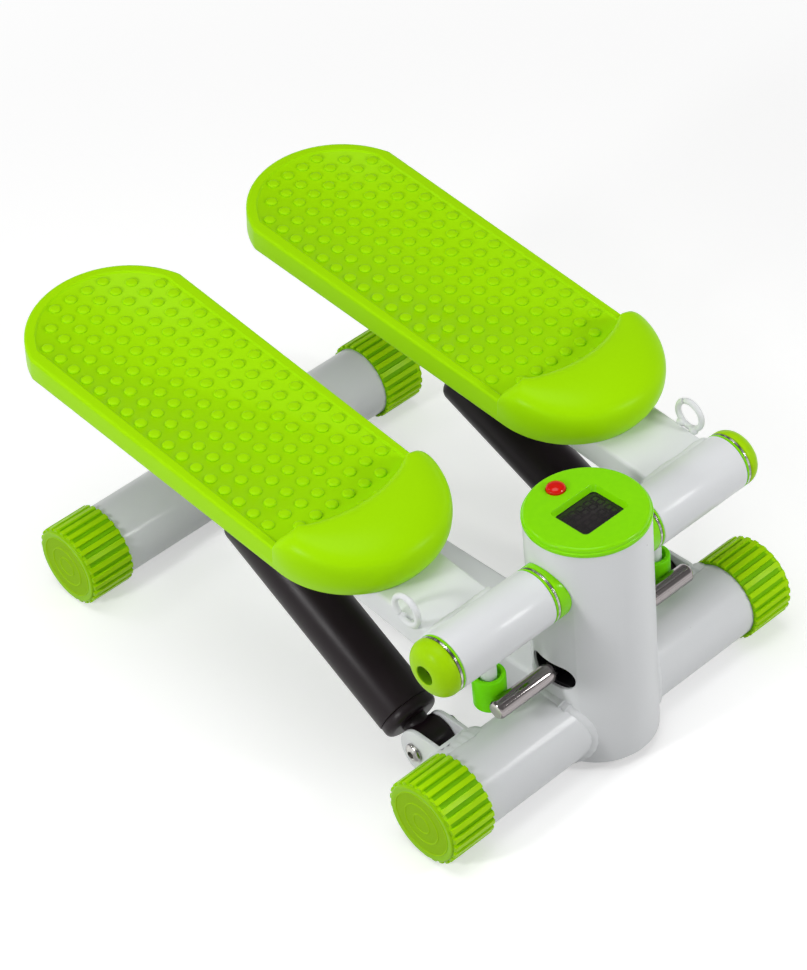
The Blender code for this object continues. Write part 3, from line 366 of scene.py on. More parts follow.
def bar_chrome():
    made, shader, place = new_finish("bar_chrome", {"Metallic": 1.0})
    across = component(place, 0)
    sawn = soft_step(across * across, BAR_END_X**2, (BAR_END_X + 0.0005) ** 2)
    lines = noise(stretched(place, (14.0, 700.0, 700.0)), 1.0, 3.0)
    pits = specks(place, 520.0, 0.20) * soft_step(noise(place, 120.0), 0.50, 0.62)
    plate = tint(lines, colour(0.25, 0.23, 0.23), colour(0.42, 0.38, 0.38))
    plate = tint(pits * 0.5, plate, colour(0.12, 0.10, 0.10))
    plug(shader, "Base Color", tint(sawn, plate, colour(0.56, 0.55, 0.51)))
    plug(shader, "Roughness", 0.05 + 0.08 * lines + 0.34 * sawn + 0.15 * pits)
    plug(shader, "Normal", relief(lines + 0.2 * noise(place, 1600.0, 2.0), 0.00010, 0.16 + 0.3 * sawn))
    return made


def zinc_plate():
    made, shader, place = new_finish("zinc_plate", {"Metallic": 1.0})
    bloom = noise(place, 210.0, 4.0)
    scratch = noise(stretched(place, (900.0, 160.0, 900.0)), 1.0, 2.0)
    patches = soft_step(bloom, 0.35, 0.65)
    plug(shader, "Base Color", tint(patches, colour(0.26, 0.25, 0.24), colour(0.66, 0.65, 0.62)))
    plug(shader, "Roughness", 0.10 + 0.16 * bloom + 0.06 * scratch)
    plug(shader, "Normal", relief(scratch, 0.00003, 0.25))
    return made


FINISHES["chrome"] = bar_chrome()
FINISHES["zinc_steel"] = zinc_plate()
print("metals", FINISHES["chrome"].name, FINISHES["zinc_steel"].name)

# %% [markdown]
# ## Display and button
# The counter's pane is a dark polariser with a faint violet cast, its digits show as ghosts a shade off
# the ground, and the button is a hard red gloss. All three are nearly plain on the real thing, so their
# detail is slight: dust and fine wipe marks in the roughness of the pane, a soft drift in the red.

# %% Pane, ghost digits and button
def dark_pane(name, dark, light, roughness):
    made, shader, place = new_finish(name, {"Specular IOR Level": 0.35})
    wipe = noise(stretched(place, (140.0, 700.0, 300.0)), 1.0, 3.0)
    drift = noise(place, 120.0, 2.0)
    plug(shader, "Base Color", tint(drift, colour(*dark), colour(*light)))
    plug(shader, "Roughness", roughness + 0.12 * wipe)
    return made


def red_gloss():
    made, shader, place = new_finish("red_gloss", {"Specular IOR Level": 0.30})
    drift = noise(place, 260.0, 2.0)
    plug(shader, "Base Color", tint(drift, colour(0.62, 0.005, 0.0010), colour(0.72, 0.008, 0.0018)))
    plug(shader, "Roughness", 0.06 + 0.05 * drift)
    plug(shader, "Normal", relief(noise(place, 900.0, 1.0), 0.00001, 0.05))
    return made


FINISHES["display_glass"] = dark_pane("display_pane", (0.021, 0.017, 0.018), (0.028, 0.023, 0.024), 0.16)
FINISHES["ghost_digit"] = dark_pane("ghost_digit", (0.010, 0.008, 0.009), (0.014, 0.011, 0.012), 0.30)
FINISHES["red_button"] = red_gloss()
print("finishes in all", len(FINISHES))

# %% [markdown]
# ## Shaping tools
# Most pieces here are turned, extruded or swept, so a few helpers carry the whole model. A lathe spins a
# half profile, a bar extrudes an outline, a skin extrudes one loop from station to station, and a soft
# edge is put on afterwards, because no edge on a painted or moulded part is truly sharp.

# %% Lathe, tube and rod
SAME_SPOT = 1e-6
THROUGH = 0.3


def lathe(profile, steps, place=Matrix.Identity(4), ring=False):
    """Spins (radius, height) points about Z. A ring's profile closes on itself; others end on the axis."""
    shape = bmesh.new()
    points = [shape.verts.new((radius, 0, height)) for radius, height in profile]
    pairs = list(zip(points, points[1:]))
    if ring:
        pairs.append((points[-1], points[0]))
    edges = [shape.edges.new(pair) for pair in pairs]
    bmesh.ops.spin(shape, geom=points + edges, axis=(0, 0, 1), angle=2 * math.pi, steps=steps, use_merge=True)
    bmesh.ops.remove_doubles(shape, verts=shape.verts, dist=SAME_SPOT)
    bmesh.ops.recalc_face_normals(shape, faces=shape.faces)
    bmesh.ops.transform(shape, matrix=place, verts=shape.verts)
    return shape


def tube(outer, inner, start, end, steps, place=Matrix.Identity(4)):
    return lathe([(outer, start), (outer, end), (inner, end), (inner, start)], steps, place, ring=True)


def rod(radius, start, end, steps, place=Matrix.Identity(4)):
    return lathe([(0, start), (radius, start), (radius, end), (0, end)], steps, place)


def through(radius, steps, place):
    """A rod long enough to cut right through any piece."""
    return rod(radius, -THROUGH, THROUGH, steps, place)


print("a cutter reaches", THROUGH, "m each way")


# %% Skin and extrusion
def skin(rings, place=Matrix.Identity(4), endless=False):
    """Extrudes the first ring of points from station to station, then closes both ends or joins them."""
    shape = bmesh.new()
    loop = [shape.verts.new(point) for point in rings[0]]
    edges = [shape.edges.new(pair) for pair in zip(loop, loop[1:] + loop[:1])]
    if not endless:
        shape.faces.new(loop)
    for ring in rings[1:] + (rings[:1] if endless else []):
        grown = bmesh.ops.extrude_edge_only(shape, edges=edges)["geom"]
        fresh = {item for item in grown if isinstance(item, bmesh.types.BMVert)}
        edges = [item for item in grown if isinstance(item, bmesh.types.BMEdge)]
        loop = [next(e.other_vert(v) for e in v.link_edges if e.other_vert(v) in fresh) for v in loop]
        for vertex, point in zip(loop, ring):
            vertex.co = point
    if endless:
        bmesh.ops.remove_doubles(shape, verts=shape.verts, dist=SAME_SPOT)
    else:
        shape.faces.new(loop)
    bmesh.ops.recalc_face_normals(shape, faces=shape.faces)
    bmesh.ops.transform(shape, matrix=place, verts=shape.verts)
    return shape


def extruded(outline, start, end, place=Matrix.Identity(4)):
    return skin([[(x, y, height) for x, y in outline] for height in (start, end)], place)


test_bar = extruded([(0, 0), (1, 0), (1, 1), (0, 1)], 0, 1)
print("a square bar has", len(test_bar.faces), "faces")
test_bar.free()

# %% [markdown]
# ## Outlines, soft edges and cuts
# Outlines are arcs and rounded rectangles. Soft edges are a bevel on every edge that folds more than a
# limit. Cuts use an exact Boolean on throw-away objects, the quickest honest way to cope one tube to
# another, as the frame builder does with a hole saw. A Boolean lists its corners and faces in an order that
# differs from run to run, and what a dissolve and a bevel then make of them can differ too. Where that
# shows, on the display cover, the cut shape is first sorted by place.

# %% Arcs and outlines
def arc(centre, radius, start, end, steps):
    angles = [start + (end - start) * step / steps for step in range(steps + 1)]
    return [(centre[0] + radius * math.cos(a), centre[1] + radius * math.sin(a)) for a in angles]


def quarter_turn(steps):
    return [math.pi / 2 * step / steps for step in range(steps + 1)]


def round_rectangle(width, height, corner, steps=6):
    points = []
    for quarter in range(4):
        angle = quarter * math.pi / 2
        across = math.copysign(width / 2 - corner, math.cos(angle + math.pi / 4))
        up = math.copysign(height / 2 - corner, math.sin(angle + math.pi / 4))
        points += arc((across, up), corner, angle, angle + math.pi / 2, steps)
    return points


print("corner test", len(round_rectangle(0.05, 0.02, 0.0025)), "points")

# %% Soft edges
PAINTED_EDGE = 0.0006
FINE_EDGE = 0.0003


def soften(shape, width, segments=3, fold=30, chosen=lambda edge: True):
    """Rounds each chosen edge that folds by more than some degrees."""
    limit = math.radians(fold)
    edges = [e for e in shape.edges if e.is_manifold and e.calc_face_angle() > limit and chosen(e)]
    bmesh.ops.bevel(shape, geom=edges, offset=width, offset_type="OFFSET", segments=segments, profile=0.5,
                    affect="EDGES", material=-1, clamp_overlap=True)
    return shape


print("painted edges are rounded by", PAINTED_EDGE, "m")


# %% Booleans
def loose_object(shape):
    mesh = bpy.data.meshes.new("blank")
    shape.to_mesh(mesh)
    shape.free()
    made = bpy.data.objects.new("blank", mesh)
    bpy.context.scene.collection.objects.link(made)
    return made


def evaluated(made):
    """The bmesh that an object's modifiers or bevel give, and the object is thrown away."""
    graph = bpy.context.evaluated_depsgraph_get()
    mesh = bpy.data.meshes.new_from_object(made.evaluated_get(graph))
    shape = bmesh.new()
    shape.from_mesh(mesh)
    bpy.data.meshes.remove(mesh)
    bpy.data.objects.remove(made)
    return shape


def carve(shape, *cutters, operation="DIFFERENCE"):
    blank = loose_object(shape)
    tools = [loose_object(cutter) for cutter in cutters]
    for tool in tools:
        cut = blank.modifiers.new("cut", "BOOLEAN")
        cut.operation = operation
        cut.solver = "EXACT"
        cut.object = tool
    result = evaluated(blank)
    for tool in tools:
        bpy.data.objects.remove(tool)
    return result


test_bar = carve(extruded(round_rectangle(0.05, 0.02, 0.0025), 0, 0.01), through(0.004, 12, Matrix()))
print("a drilled bar has", len(test_bar.faces), "faces")
test_bar.free()

# %% Fixed order and joining
SORT_DIGITS = 6


def in_order(shape):
    """The same mesh, rebuilt with its corners and faces sorted by place."""
    def place(vertex):
        return tuple(round(value, SORT_DIGITS) for value in vertex.co)

    whole = bmesh.new()
    corner = {vertex: whole.verts.new(vertex.co) for vertex in sorted(shape.verts, key=place)}
    for face in sorted(shape.faces, key=lambda face: sorted(place(vertex) for vertex in face.verts)):
        ring = list(face.verts)
        first = ring.index(min(ring, key=place))
        whole.faces.new([corner[vertex] for vertex in ring[first:] + ring[:first]])
    whole.normal_update()
    shape.free()
    return whole


def joined(shapes):
    """One bmesh from several, which it uses up."""
    whole = bmesh.new()
    for shape in shapes:
        mesh = bpy.data.meshes.new("part")
        shape.to_mesh(mesh)
        shape.free()
        whole.from_mesh(mesh)
        bpy.data.meshes.remove(mesh)
    return whole


test_pair = joined([in_order(rod(1, start, start + 1, 6)) for start in (0, 2)])
print("two bars joined have", len(test_pair.faces), "faces")
test_pair.free()

# %% [markdown]
# ## Handing a piece to the frame
# A finished bmesh becomes an object at the origin with its place in its mesh. It rides on the body that
# carries it, stands for the solid of the same name, and takes that solid's finish. Smooth shading with a
# crease angle keeps rolled surfaces soft and cut ends crisp.

# %% Make a piece ride
NODE_BODY = {node: body for body, nodes in frame["record"]["behaviour"]["bodies"].items() for node in nodes}
NODE_SLOT = {part["node"]: part["material_slot"] for part in frame["record"]["subparts"]}


def add_piece(shape, name, body, slot, finish=None, crease=35):
    bmesh.ops.remove_doubles(shape, verts=shape.verts, dist=SAME_SPOT)
    bmesh.ops.recalc_face_normals(shape, faces=shape.faces)
    mesh = bpy.data.meshes.new(name)
    shape.to_mesh(mesh)
    shape.free()
    mesh.materials.append(FINISHES[finish or slot])
    mesh.shade_smooth()
    mesh.set_sharp_from_angle(angle=math.radians(crease))
    made = bpy.data.objects.new(name, mesh)
    bpy.context.scene.collection.objects.link(made)
    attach(made, body)
    print(f"{name}: {len(mesh.polygons)} faces on {body}")
    return made


def dress(node, shape, crease=35):
    """A fine piece that stands for one solid."""
    made = add_piece(shape, "fine_" + node, NODE_BODY[node], NODE_SLOT[node], crease=crease)
    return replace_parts(made, node)


print("solids to dress", len(NODE_SLOT))

# %% [markdown]
# ## The post
# A plain round tube stands upright in the base and carries everything. It has a slot on each side, where
# the rocker bar comes out. The tube is turned and the slots are cut straight through both walls with one
# long cutter; a second pass rounds just the slot's outer edge, where the paint has built up.

# %% Post with slots
POST_RADIUS = 0.038
POST_WALL = 0.002
POST_BOTTOM = 0.00685
POST_TOP = 0.172
SLOT_HALF_LENGTH = 0.0175
SLOT_HALF_HEIGHT = 0.0085
SLOT_EDGE = 0.0007
SHAFT_RADIUS = 0.010
SEAT_GAP = 0.0003
POST_STEPS = 96
POST_AXIS = Matrix.Translation((0, POST_Y, 0))


def post_shape():
    shape = tube(POST_RADIUS, POST_RADIUS - POST_WALL, POST_BOTTOM, POST_TOP, POST_STEPS, POST_AXIS)
    soften(shape, PAINTED_EDGE)
    flat = SLOT_HALF_LENGTH - SLOT_HALF_HEIGHT
    outline = arc((0, flat), SLOT_HALF_HEIGHT, 0, math.pi, 16)
    outline += arc((0, -flat), SLOT_HALF_HEIGHT, math.pi, 2 * math.pi, 16)
    slot_place = Matrix.Translation((0, POST_Y, BAR_HEIGHT)) @ turn_to_x(1)
    slot = extruded(outline, -THROUGH, THROUGH, slot_place)
    hole = through(SHAFT_RADIUS + SEAT_GAP, 32, PIVOT @ turn_to_x(1))
    shape = carve(shape, slot, hole)

    def slot_rim(edge):
        on_wall = all(abs(math.hypot(v.co.x, v.co.y - POST_Y) - POST_RADIUS) < 2e-4 for v in edge.verts)
        return on_wall and all(abs(v.co.z - BAR_HEIGHT) < SLOT_HALF_HEIGHT + 0.0015 for v in edge.verts)

    return soften(shape, SLOT_EDGE, 2, 40, slot_rim)


dress("post", post_shape())

# %% [markdown]
# ## Welds
# Where one tube is coped to another, the welder left a fillet that the paint half hides, with a swelling
# on top where the weld ran over. A fillet could be sculpted, but it always lies in the corner between a
# bar and a cylinder, so one function serves all: it walks round the bar's outline, finds the corner, and
# lays a small section there with one leg along the bar and one on the cylinder. The legs swell and thin a
# little as they go.

# %% Corners of a weld
WELD_SPACING = 0.0014


def even_points(points, spacing):
    """Points at a steady distance along a closed line."""
    line = [Vector(point) for point in points] + [Vector(points[0])]
    lengths = [(b - a).length for a, b in zip(line, line[1:])]
    count = max(8, round(sum(lengths) / spacing))
    spread = []
    walked, index = 0.0, 0
    for step in range(count):
        target = sum(lengths) * step / count
        while walked + lengths[index] < target:
            walked += lengths[index]
            index += 1
        share = (target - walked) / lengths[index]
        spread.append(line[index].lerp(line[index + 1], share))
    return spread


def weld_corners(outline, height, radius, upright):
    """Corners and leg directions for a bar along +Y that ends on a cylinder, upright or along X."""
    spots = even_points(outline, WELD_SPACING)
    corners = []
    for index, spot in enumerate(spots):
        ahead = spots[(index + 1) % len(spots)] - spots[index - 1]
        away = Vector((ahead.y, 0, -ahead.x)).normalized()
        up = spot.y + height
        depth = math.sqrt(radius**2 - (spot.x if upright else up) ** 2)
        facing = Vector((spot.x, depth, 0) if upright else (0, depth, up)) / radius
        corners.append((Vector((spot.x, depth, up)), (away - facing * away.dot(facing)).normalized()))
    return corners


test_outline = round_rectangle(0.05, 0.02, 0.0025)
print("weld points round a flat tube", len(even_points(test_outline, WELD_SPACING)))

# %% Fillet and lump
WELD_SECTION = ((1.0, -0.12), (0.94, 0.34), (0.70, 0.70), (0.34, 0.94), (-0.12, 1.0), (-0.2, -0.2))
WELD_LOWEST = 0.0022


def fillet(corners, leg, place, ripple=0.07, swelling=None):
    """A weld round the corners. A swelling is the number of the corner where it lies."""
    rings = []
    for index, (corner, spread) in enumerate(corners):
        size = leg * (1 + ripple * math.sin(index * 1.7) + ripple * 1.4 * math.sin(index * 0.31))
        if swelling is not None:
            size *= 1 + (0.75 + 0.30 * math.sin(index * 2.2)) * math.exp(-(((index - swelling) / 3.2) ** 2))
        ring = [place @ (corner + size * (Vector((0, run, 0)) + rise * spread)) for run, rise in WELD_SECTION]
        rings.append([(x, y, max(z, WELD_LOWEST)) for x, y, z in ring])
    return skin(rings, endless=True)


def lump(spot, size):
    """A lump of weld: a ball squashed to fit its place."""
    shape = bmesh.new()
    place = Matrix.Translation(spot) @ Matrix.Diagonal((*size, 1))
    bmesh.ops.create_uvsphere(shape, u_segments=16, v_segments=10, radius=1.0, matrix=place)
    return shape


print("weld section of", len(WELD_SECTION), "points")

# %% [markdown]
# ## Base tubes and spine
# The base is an I of tubes: a stub on each side of the post in front, one long tube behind, and a flat
# spine between. The stubs are coped to the post and the spine to both, so each end is cut with the very
# cylinder it meets, and a bead follows the same curve.

# %% Base frame
BASE_TUBE_RADIUS = 0.0254
BASE_TUBE_WALL = 0.002
BASE_TUBE_HALF_SPAN = 0.143
TUBE_BORE = BASE_TUBE_RADIUS - BASE_TUBE_WALL
TUBE_STEPS = 72
STUB_WELD = 0.0026
STUB_RIPPLE = 0.09


def post_cutter():
    return through(POST_RADIUS + SEAT_GAP, POST_STEPS, POST_AXIS)


def base_tube_cutter(end):
    return through(BASE_TUBE_RADIUS + SEAT_GAP, TUBE_STEPS, BASE_AXIS[end] @ turn_to_x(1))


base_welds = []
for name, side in SIDES.items():
    place = BASE_AXIS["front"] @ turn_to_x(side)
    stub = tube(BASE_TUBE_RADIUS, TUBE_BORE, POST_RADIUS / 2, BASE_TUBE_HALF_SPAN, TUBE_STEPS, place)
    dress(f"front_tube_{name}", carve(stub, post_cutter()))
    stub_outline = arc((0, 0), BASE_TUBE_RADIUS, 0, 2 * math.pi, 90)[:-1]
    corners = weld_corners(stub_outline, BASE_HEIGHT, POST_RADIUS, True)
    turn = POST_AXIS @ Matrix.Rotation(-side * math.pi / 2, 4, "Z")
    top = len(corners) // 4
    base_welds.append(fillet(corners, STUB_WELD, turn, STUB_RIPPLE, swelling=top - 8 * side))
span = BASE_TUBE_HALF_SPAN
rear_tube = tube(BASE_TUBE_RADIUS, TUBE_BORE, -span, span, TUBE_STEPS, BASE_AXIS["rear"] @ turn_to_x(1))
dress("rear_tube", rear_tube)

# %% Spine and its seams
SPINE_WIDTH = 0.053
SPINE_HEIGHT = 0.030
SPINE_TOP = 0.045
SPINE_WALL = 0.002
SPINE_CORNER = 0.003
SPINE_WELD = 0.0028
middle = SPINE_TOP - SPINE_HEIGHT / 2
spine_place = Matrix.Translation((0, POST_Y, middle)) @ TURN_TO_Y
spine_outline = round_rectangle(SPINE_WIDTH, SPINE_HEIGHT, SPINE_CORNER)
spine = extruded(spine_outline, POST_RADIUS / 2, REAR_TUBE_Y, spine_place)
bore_width, bore_height = SPINE_WIDTH - 2 * SPINE_WALL, SPINE_HEIGHT - 2 * SPINE_WALL
bore_outline = round_rectangle(bore_width, bore_height, SPINE_CORNER - SPINE_WALL / 2)
bore = extruded(bore_outline, 0, 2 * REAR_TUBE_Y, spine_place)
dress("spine_tube", carve(spine, bore, post_cutter(), base_tube_cutter("rear")))
at_post = weld_corners(spine_outline, middle, POST_RADIUS, True)
base_welds.append(fillet(at_post, SPINE_WELD, POST_AXIS))
at_rear = weld_corners(spine_outline, middle - BASE_HEIGHT, BASE_TUBE_RADIUS, False)
base_welds.append(fillet(at_rear, SPINE_WELD, BASE_AXIS["rear"] @ Matrix.Rotation(math.pi, 4, "Z")))
add_piece(joined(base_welds), "base_welds", "base", "white_paint", crease=60)

# %% [markdown]
# ## Ribbed foot caps
# Each tube end wears a rubber cup with square ribs along it, cut off just short of a rounded rim, and
# three thin rings raised on the end face. One outline of ribs is grown from the mouth to the rim and then
# drawn in to circles, ring by ring, so ribs, rim and rings are one skin.

# %% Foot caps
CAP_OVERLAP = 0.029
CAP_END_WALL = 0.0042
CAP_RIB_DEPTH = 0.0019
CAP_RIM_ROUND = 0.0012
CAP_RING_LIFT = 0.0004
CAP_VALLEY = CAP_RIB_RADIUS - CAP_RIB_DEPTH
CAP_MOUTH = BASE_TUBE_HALF_SPAN - CAP_OVERLAP
CAP_END = BASE_TUBE_HALF_SPAN + SEAT_GAP + CAP_END_WALL
CAP_CENTRE_FLAT = 0.002
RIB_PROFILE = ((-0.47, 1.0), (0.0, 1.0), (0.47, 1.0), (0.60, 0.0), (1.0, 0.0), (1.40, 0.0))
RIB_STARTS = ((0.0003, 0.9), (0.0007, 1))
RIB_STOPS = ((0.0017, 1), (0.0014, 0.90), (0.0013, 0.10))
RING_PROFILE = ((0.0006, 0), (0.0002, 1), (-0.0002, 1), (-0.0006, 0))


def cap_ring(height, ribs, radius):
    """A loop round the cap. Ribs go from 1, at full height, to 0, a plain circle of some radius."""
    half_pitch = math.pi / CAP_RIBS
    points = []
    for rib in range(CAP_RIBS):
        for offset, lift in RIB_PROFILE:
            angle = (2 * rib + offset) * half_pitch
            reach = radius + ribs * lift * CAP_RIB_DEPTH
            points.append((reach * math.cos(angle), reach * math.sin(angle), height))
    return points


def cap_shape():
    bore = BASE_TUBE_RADIUS + SEAT_GAP
    floor = BASE_TUBE_HALF_SPAN + SEAT_GAP
    rings = [cap_ring(floor, 0, bore * 0.5), cap_ring(floor, 0, bore), cap_ring(CAP_MOUTH, 0, bore)]
    rings.append(cap_ring(CAP_MOUTH, 0, CAP_VALLEY - 0.0004))
    rings += [cap_ring(CAP_MOUTH + along, ribs, CAP_VALLEY) for along, ribs in RIB_STARTS]
    rings += [cap_ring(CAP_END - along, ribs, CAP_VALLEY) for along, ribs in RIB_STOPS]
    for turn in quarter_turn(4):
        back, inward = 1 - math.sin(turn), 1 - math.cos(turn)
        rings.append(cap_ring(CAP_END - CAP_RIM_ROUND * back, 0, CAP_VALLEY - CAP_RIM_ROUND * inward))
    face = CAP_END - CAP_RING_LIFT
    for radius in CAP_CIRCLES:
        for across, lift in RING_PROFILE:
            rings.append(cap_ring(face + lift * CAP_RING_LIFT, 0, radius + across))
    return skin(rings + [cap_ring(face, 0, CAP_CENTRE_FLAT)])


for end, axis in BASE_AXIS.items():
    for name, side in SIDES.items():
        shape = cap_shape()
        bmesh.ops.transform(shape, matrix=axis @ turn_to_x(side), verts=shape.verts)
        dress(f"{end}_{name}_foot_cap", shape, crease=28)

# %% [markdown]
# ## Pivot stack
# From the post outward: a green collar shaped to the post, a steel washer, a green bush with a thin
# flange, the white sleeve of the arm, another bush and washer, and a domed cap over the end bolt. All are
# turned; only the collar is cut, by the post itself.

# %% Collars, washers and bushes
SLEEVE_RADIUS = 0.0185
SLEEVE_WALL = 0.0025
SLEEVE_BORE = SLEEVE_RADIUS - SLEEVE_WALL
SLEEVE_LENGTH = 0.0724
SLEEVE_START = 0.0455
SLEEVE_END = SLEEVE_START + SLEEVE_LENGTH
FLANGE = 0.0013
WASHER = 0.0015
BUSH_LENGTH = 0.018
COLLAR_END = SLEEVE_START - FLANGE - WASHER - 3 * SEAT_GAP
SHAFT_BORE = SHAFT_RADIUS + SEAT_GAP
PIVOT_STEPS = 72


def washer_profile(start):
    """A pair of thin rings pressed together, so their edges show as two bright lines."""
    edge, half = SLEEVE_RADIUS - 0.0001, WASHER / 2
    profile = [(SHAFT_BORE, start)]
    for foot in (start, start + half):
        centre = (edge - half / 2, foot + half / 2)
        profile += arc(centre, half / 2, -math.pi / 2, math.pi / 2, 6)
    return profile + [(SHAFT_BORE, start + WASHER)]


for name, side in SIDES.items():
    place = PIVOT @ turn_to_x(side)
    collar = tube(SLEEVE_RADIUS, SHAFT_BORE, POST_RADIUS / 2, COLLAR_END, PIVOT_STEPS, place)
    dress(f"{name}_collar", carve(soften(collar, PAINTED_EDGE), post_cutter()))
    seats = {"inner": COLLAR_END + SEAT_GAP, "outer": SLEEVE_END + FLANGE + 2 * SEAT_GAP}
    for where, start in seats.items():
        washer = lathe(washer_profile(start), PIVOT_STEPS, place, ring=True)
        dress(f"{name}_{where}_washer", washer, crease=50)
    barrel = SLEEVE_BORE - SEAT_GAP
    for where, face, inward in (("inner", SLEEVE_START - SEAT_GAP, 1), ("outer", SLEEVE_END + SEAT_GAP, -1)):
        lip, tail = face - inward * FLANGE, face + inward * BUSH_LENGTH
        profile = [(SLEEVE_RADIUS, lip), (SLEEVE_RADIUS, face), (barrel, face)]
        profile += [(barrel, tail), (SHAFT_BORE, tail), (SHAFT_BORE, lip)]
        bush = lathe(profile, PIVOT_STEPS, ARM @ turn_to_x(side), ring=True)
        dress(f"{name}_{where}_bush", soften(bush, FINE_EDGE, 2))

# %% [markdown]
# ## Bolts with a socket
# The screws are button heads with a six-sided socket. A socket could be only painted on, but its dark
# floor and bright corners catch the eye, so it is cut: a six-step lathe makes the key, and a Boolean
# takes it out.

# %% Dome caps and end bolts
DOME_START = SLEEVE_END + FLANGE + WASHER + 3 * SEAT_GAP
DOME_LENGTH = 0.0115
DOME_FLOOR = 0.0025
DOME_RIM = 0.0008
DOME_CHAMFER = 0.0004
END_BOLT_RADIUS = DOME_HOLE - 0.0004
END_BOLT_HEAD = 0.0050
END_BOLT_SHANK = 0.004
END_BOLT_LENGTH = 0.016


def socket_head(radius, height, seat, shank, end, place):
    """A button head on a shank, with a six-sided socket."""
    crown = [(radius * math.sin(t), seat + height * (0.22 + 0.78 * math.cos(t))) for t in quarter_turn(8)]
    profile = crown + [(radius * 0.97, seat), (shank, seat), (shank, end), (0, end)]
    key = rod(radius * 0.44, seat + height * 0.34, seat + 2 * height, 6, place)
    return carve(lathe(profile, 48, place), key)


def dome_profile():
    tip = DOME_START + DOME_LENGTH
    land = DOME_LENGTH / 6
    curve = [(DOME_HOLE + (SLEEVE_RADIUS - DOME_HOLE) * math.cos(t) ** 0.85,
              DOME_START + land + (DOME_LENGTH - land) * math.sin(t)) for t in quarter_turn(15)[:-2]]
    rim = arc((DOME_HOLE + DOME_RIM, tip - DOME_RIM), DOME_RIM, math.pi / 2, math.pi, 5)
    profile = [(SLEEVE_RADIUS - DOME_CHAMFER, DOME_START), (SLEEVE_RADIUS, DOME_START + DOME_CHAMFER)]
    profile += curve + rim
    floor, bolt_hole = DOME_START + DOME_FLOOR, END_BOLT_SHANK + SEAT_GAP
    return profile + [(DOME_HOLE, floor), (bolt_hole, floor), (bolt_hole, DOME_START)]


for name, side in SIDES.items():
    place = PIVOT @ turn_to_x(side)
    dress(f"{name}_dome_cap", lathe(dome_profile(), PIVOT_STEPS, place, ring=True), crease=45)
    seat = DOME_START + DOME_FLOOR + SEAT_GAP
    tail = seat - END_BOLT_LENGTH
    bolt = socket_head(END_BOLT_RADIUS, END_BOLT_HEAD, seat, END_BOLT_SHANK, tail, place)
    dress(f"{name}_end_bolt", bolt)

# %% [markdown]
# ## Sleeves and arms
# Each arm is a flat tube whose front end is coped to a round sleeve and welded all round. The arm is an
# extruded rounded rectangle cut by the sleeve's cylinder; the seam runs where the rectangle meets that
# cylinder, so its points are the outline's own, pushed out to the sleeve's surface.

# %% Arms
ARM_CENTRE_X = 0.0906
ARM_WIDTH = 0.050
ARM_HEIGHT = 0.020
ARM_TOP = 0.0095
ARM_LENGTH = 0.305
ARM_CORNER = 0.0025
ARM_END_ROUND = 0.0010
ARM_MIDDLE = ARM_TOP - ARM_HEIGHT / 2
ARM_OUTLINE = round_rectangle(ARM_WIDTH, ARM_HEIGHT, ARM_CORNER)
SLEEVE_STEPS = 80


def sleeve_cutter():
    return through(SLEEVE_RADIUS + SEAT_GAP, SLEEVE_STEPS, ARM @ turn_to_x(1))


def arm_place(side):
    return ARM @ Matrix.Translation((side * ARM_CENTRE_X, 0, ARM_MIDDLE)) @ TURN_TO_Y


for name, side in SIDES.items():
    turn = ARM @ turn_to_x(side)
    sleeve = tube(SLEEVE_RADIUS, SLEEVE_BORE, SLEEVE_START, SLEEVE_END, SLEEVE_STEPS, turn)
    dress(f"{name}_sleeve", soften(sleeve, PAINTED_EDGE))
    blank = soften(extruded(ARM_OUTLINE, 0, ARM_LENGTH, arm_place(side)), ARM_END_ROUND, 3, 60)
    dress(f"{name}_arm", carve(blank, sleeve_cutter()))

# %% [markdown]
# ## Band eyes, studs and bumpers
# A wire eye stands on the outer edge of each arm for a resistance band: a ring bent from rod that does
# not quite close, held by two lumps of weld. Under each sleeve a white stud hangs down into a rubber cup,
# which rests behind the rocker bar and passes its push on.

# %% Band eyes
RING_RADIUS = 0.0096
RING_WIRE = 0.002
RING_ALONG = 0.031
RING_RISE = 0.009
RING_BEND = math.radians(352)
RING_OPENING = math.radians(150)
RING_END_ROUND = 0.0004


def open_ring(place):
    """A ring of wire that stops just short of closing."""
    shape = bmesh.new()
    wire = Matrix.Translation((RING_RADIUS, 0, 0)) @ Matrix.Rotation(math.pi / 2, 4, "X")
    bmesh.ops.create_circle(shape, cap_ends=True, segments=16, radius=RING_WIRE, matrix=wire)
    bmesh.ops.spin(shape, geom=shape.faces[:], axis=(0, 0, 1), angle=RING_BEND, steps=60)
    bmesh.ops.recalc_face_normals(shape, faces=shape.faces)
    soften(shape, RING_END_ROUND, 2, 60)
    bmesh.ops.transform(shape, matrix=place, verts=shape.verts)
    return shape


print("band eye", round(2 * (RING_RADIUS + RING_WIRE), 4), "m across")

# %% Bumpers
BUMPER_X = 0.0707
BUMPER_Y = 0.0172
BUMPER_RADIUS = 0.0105
BUMPER_HEIGHT = 0.024
BUMPER_MOUTH = 0.0076
BUMPER_FOOT_ROUND = 0.0018
BUMPER_TOP_ROUND = 0.0012
STUD_RADIUS = 0.0052
STUD_DEPTH = 0.014


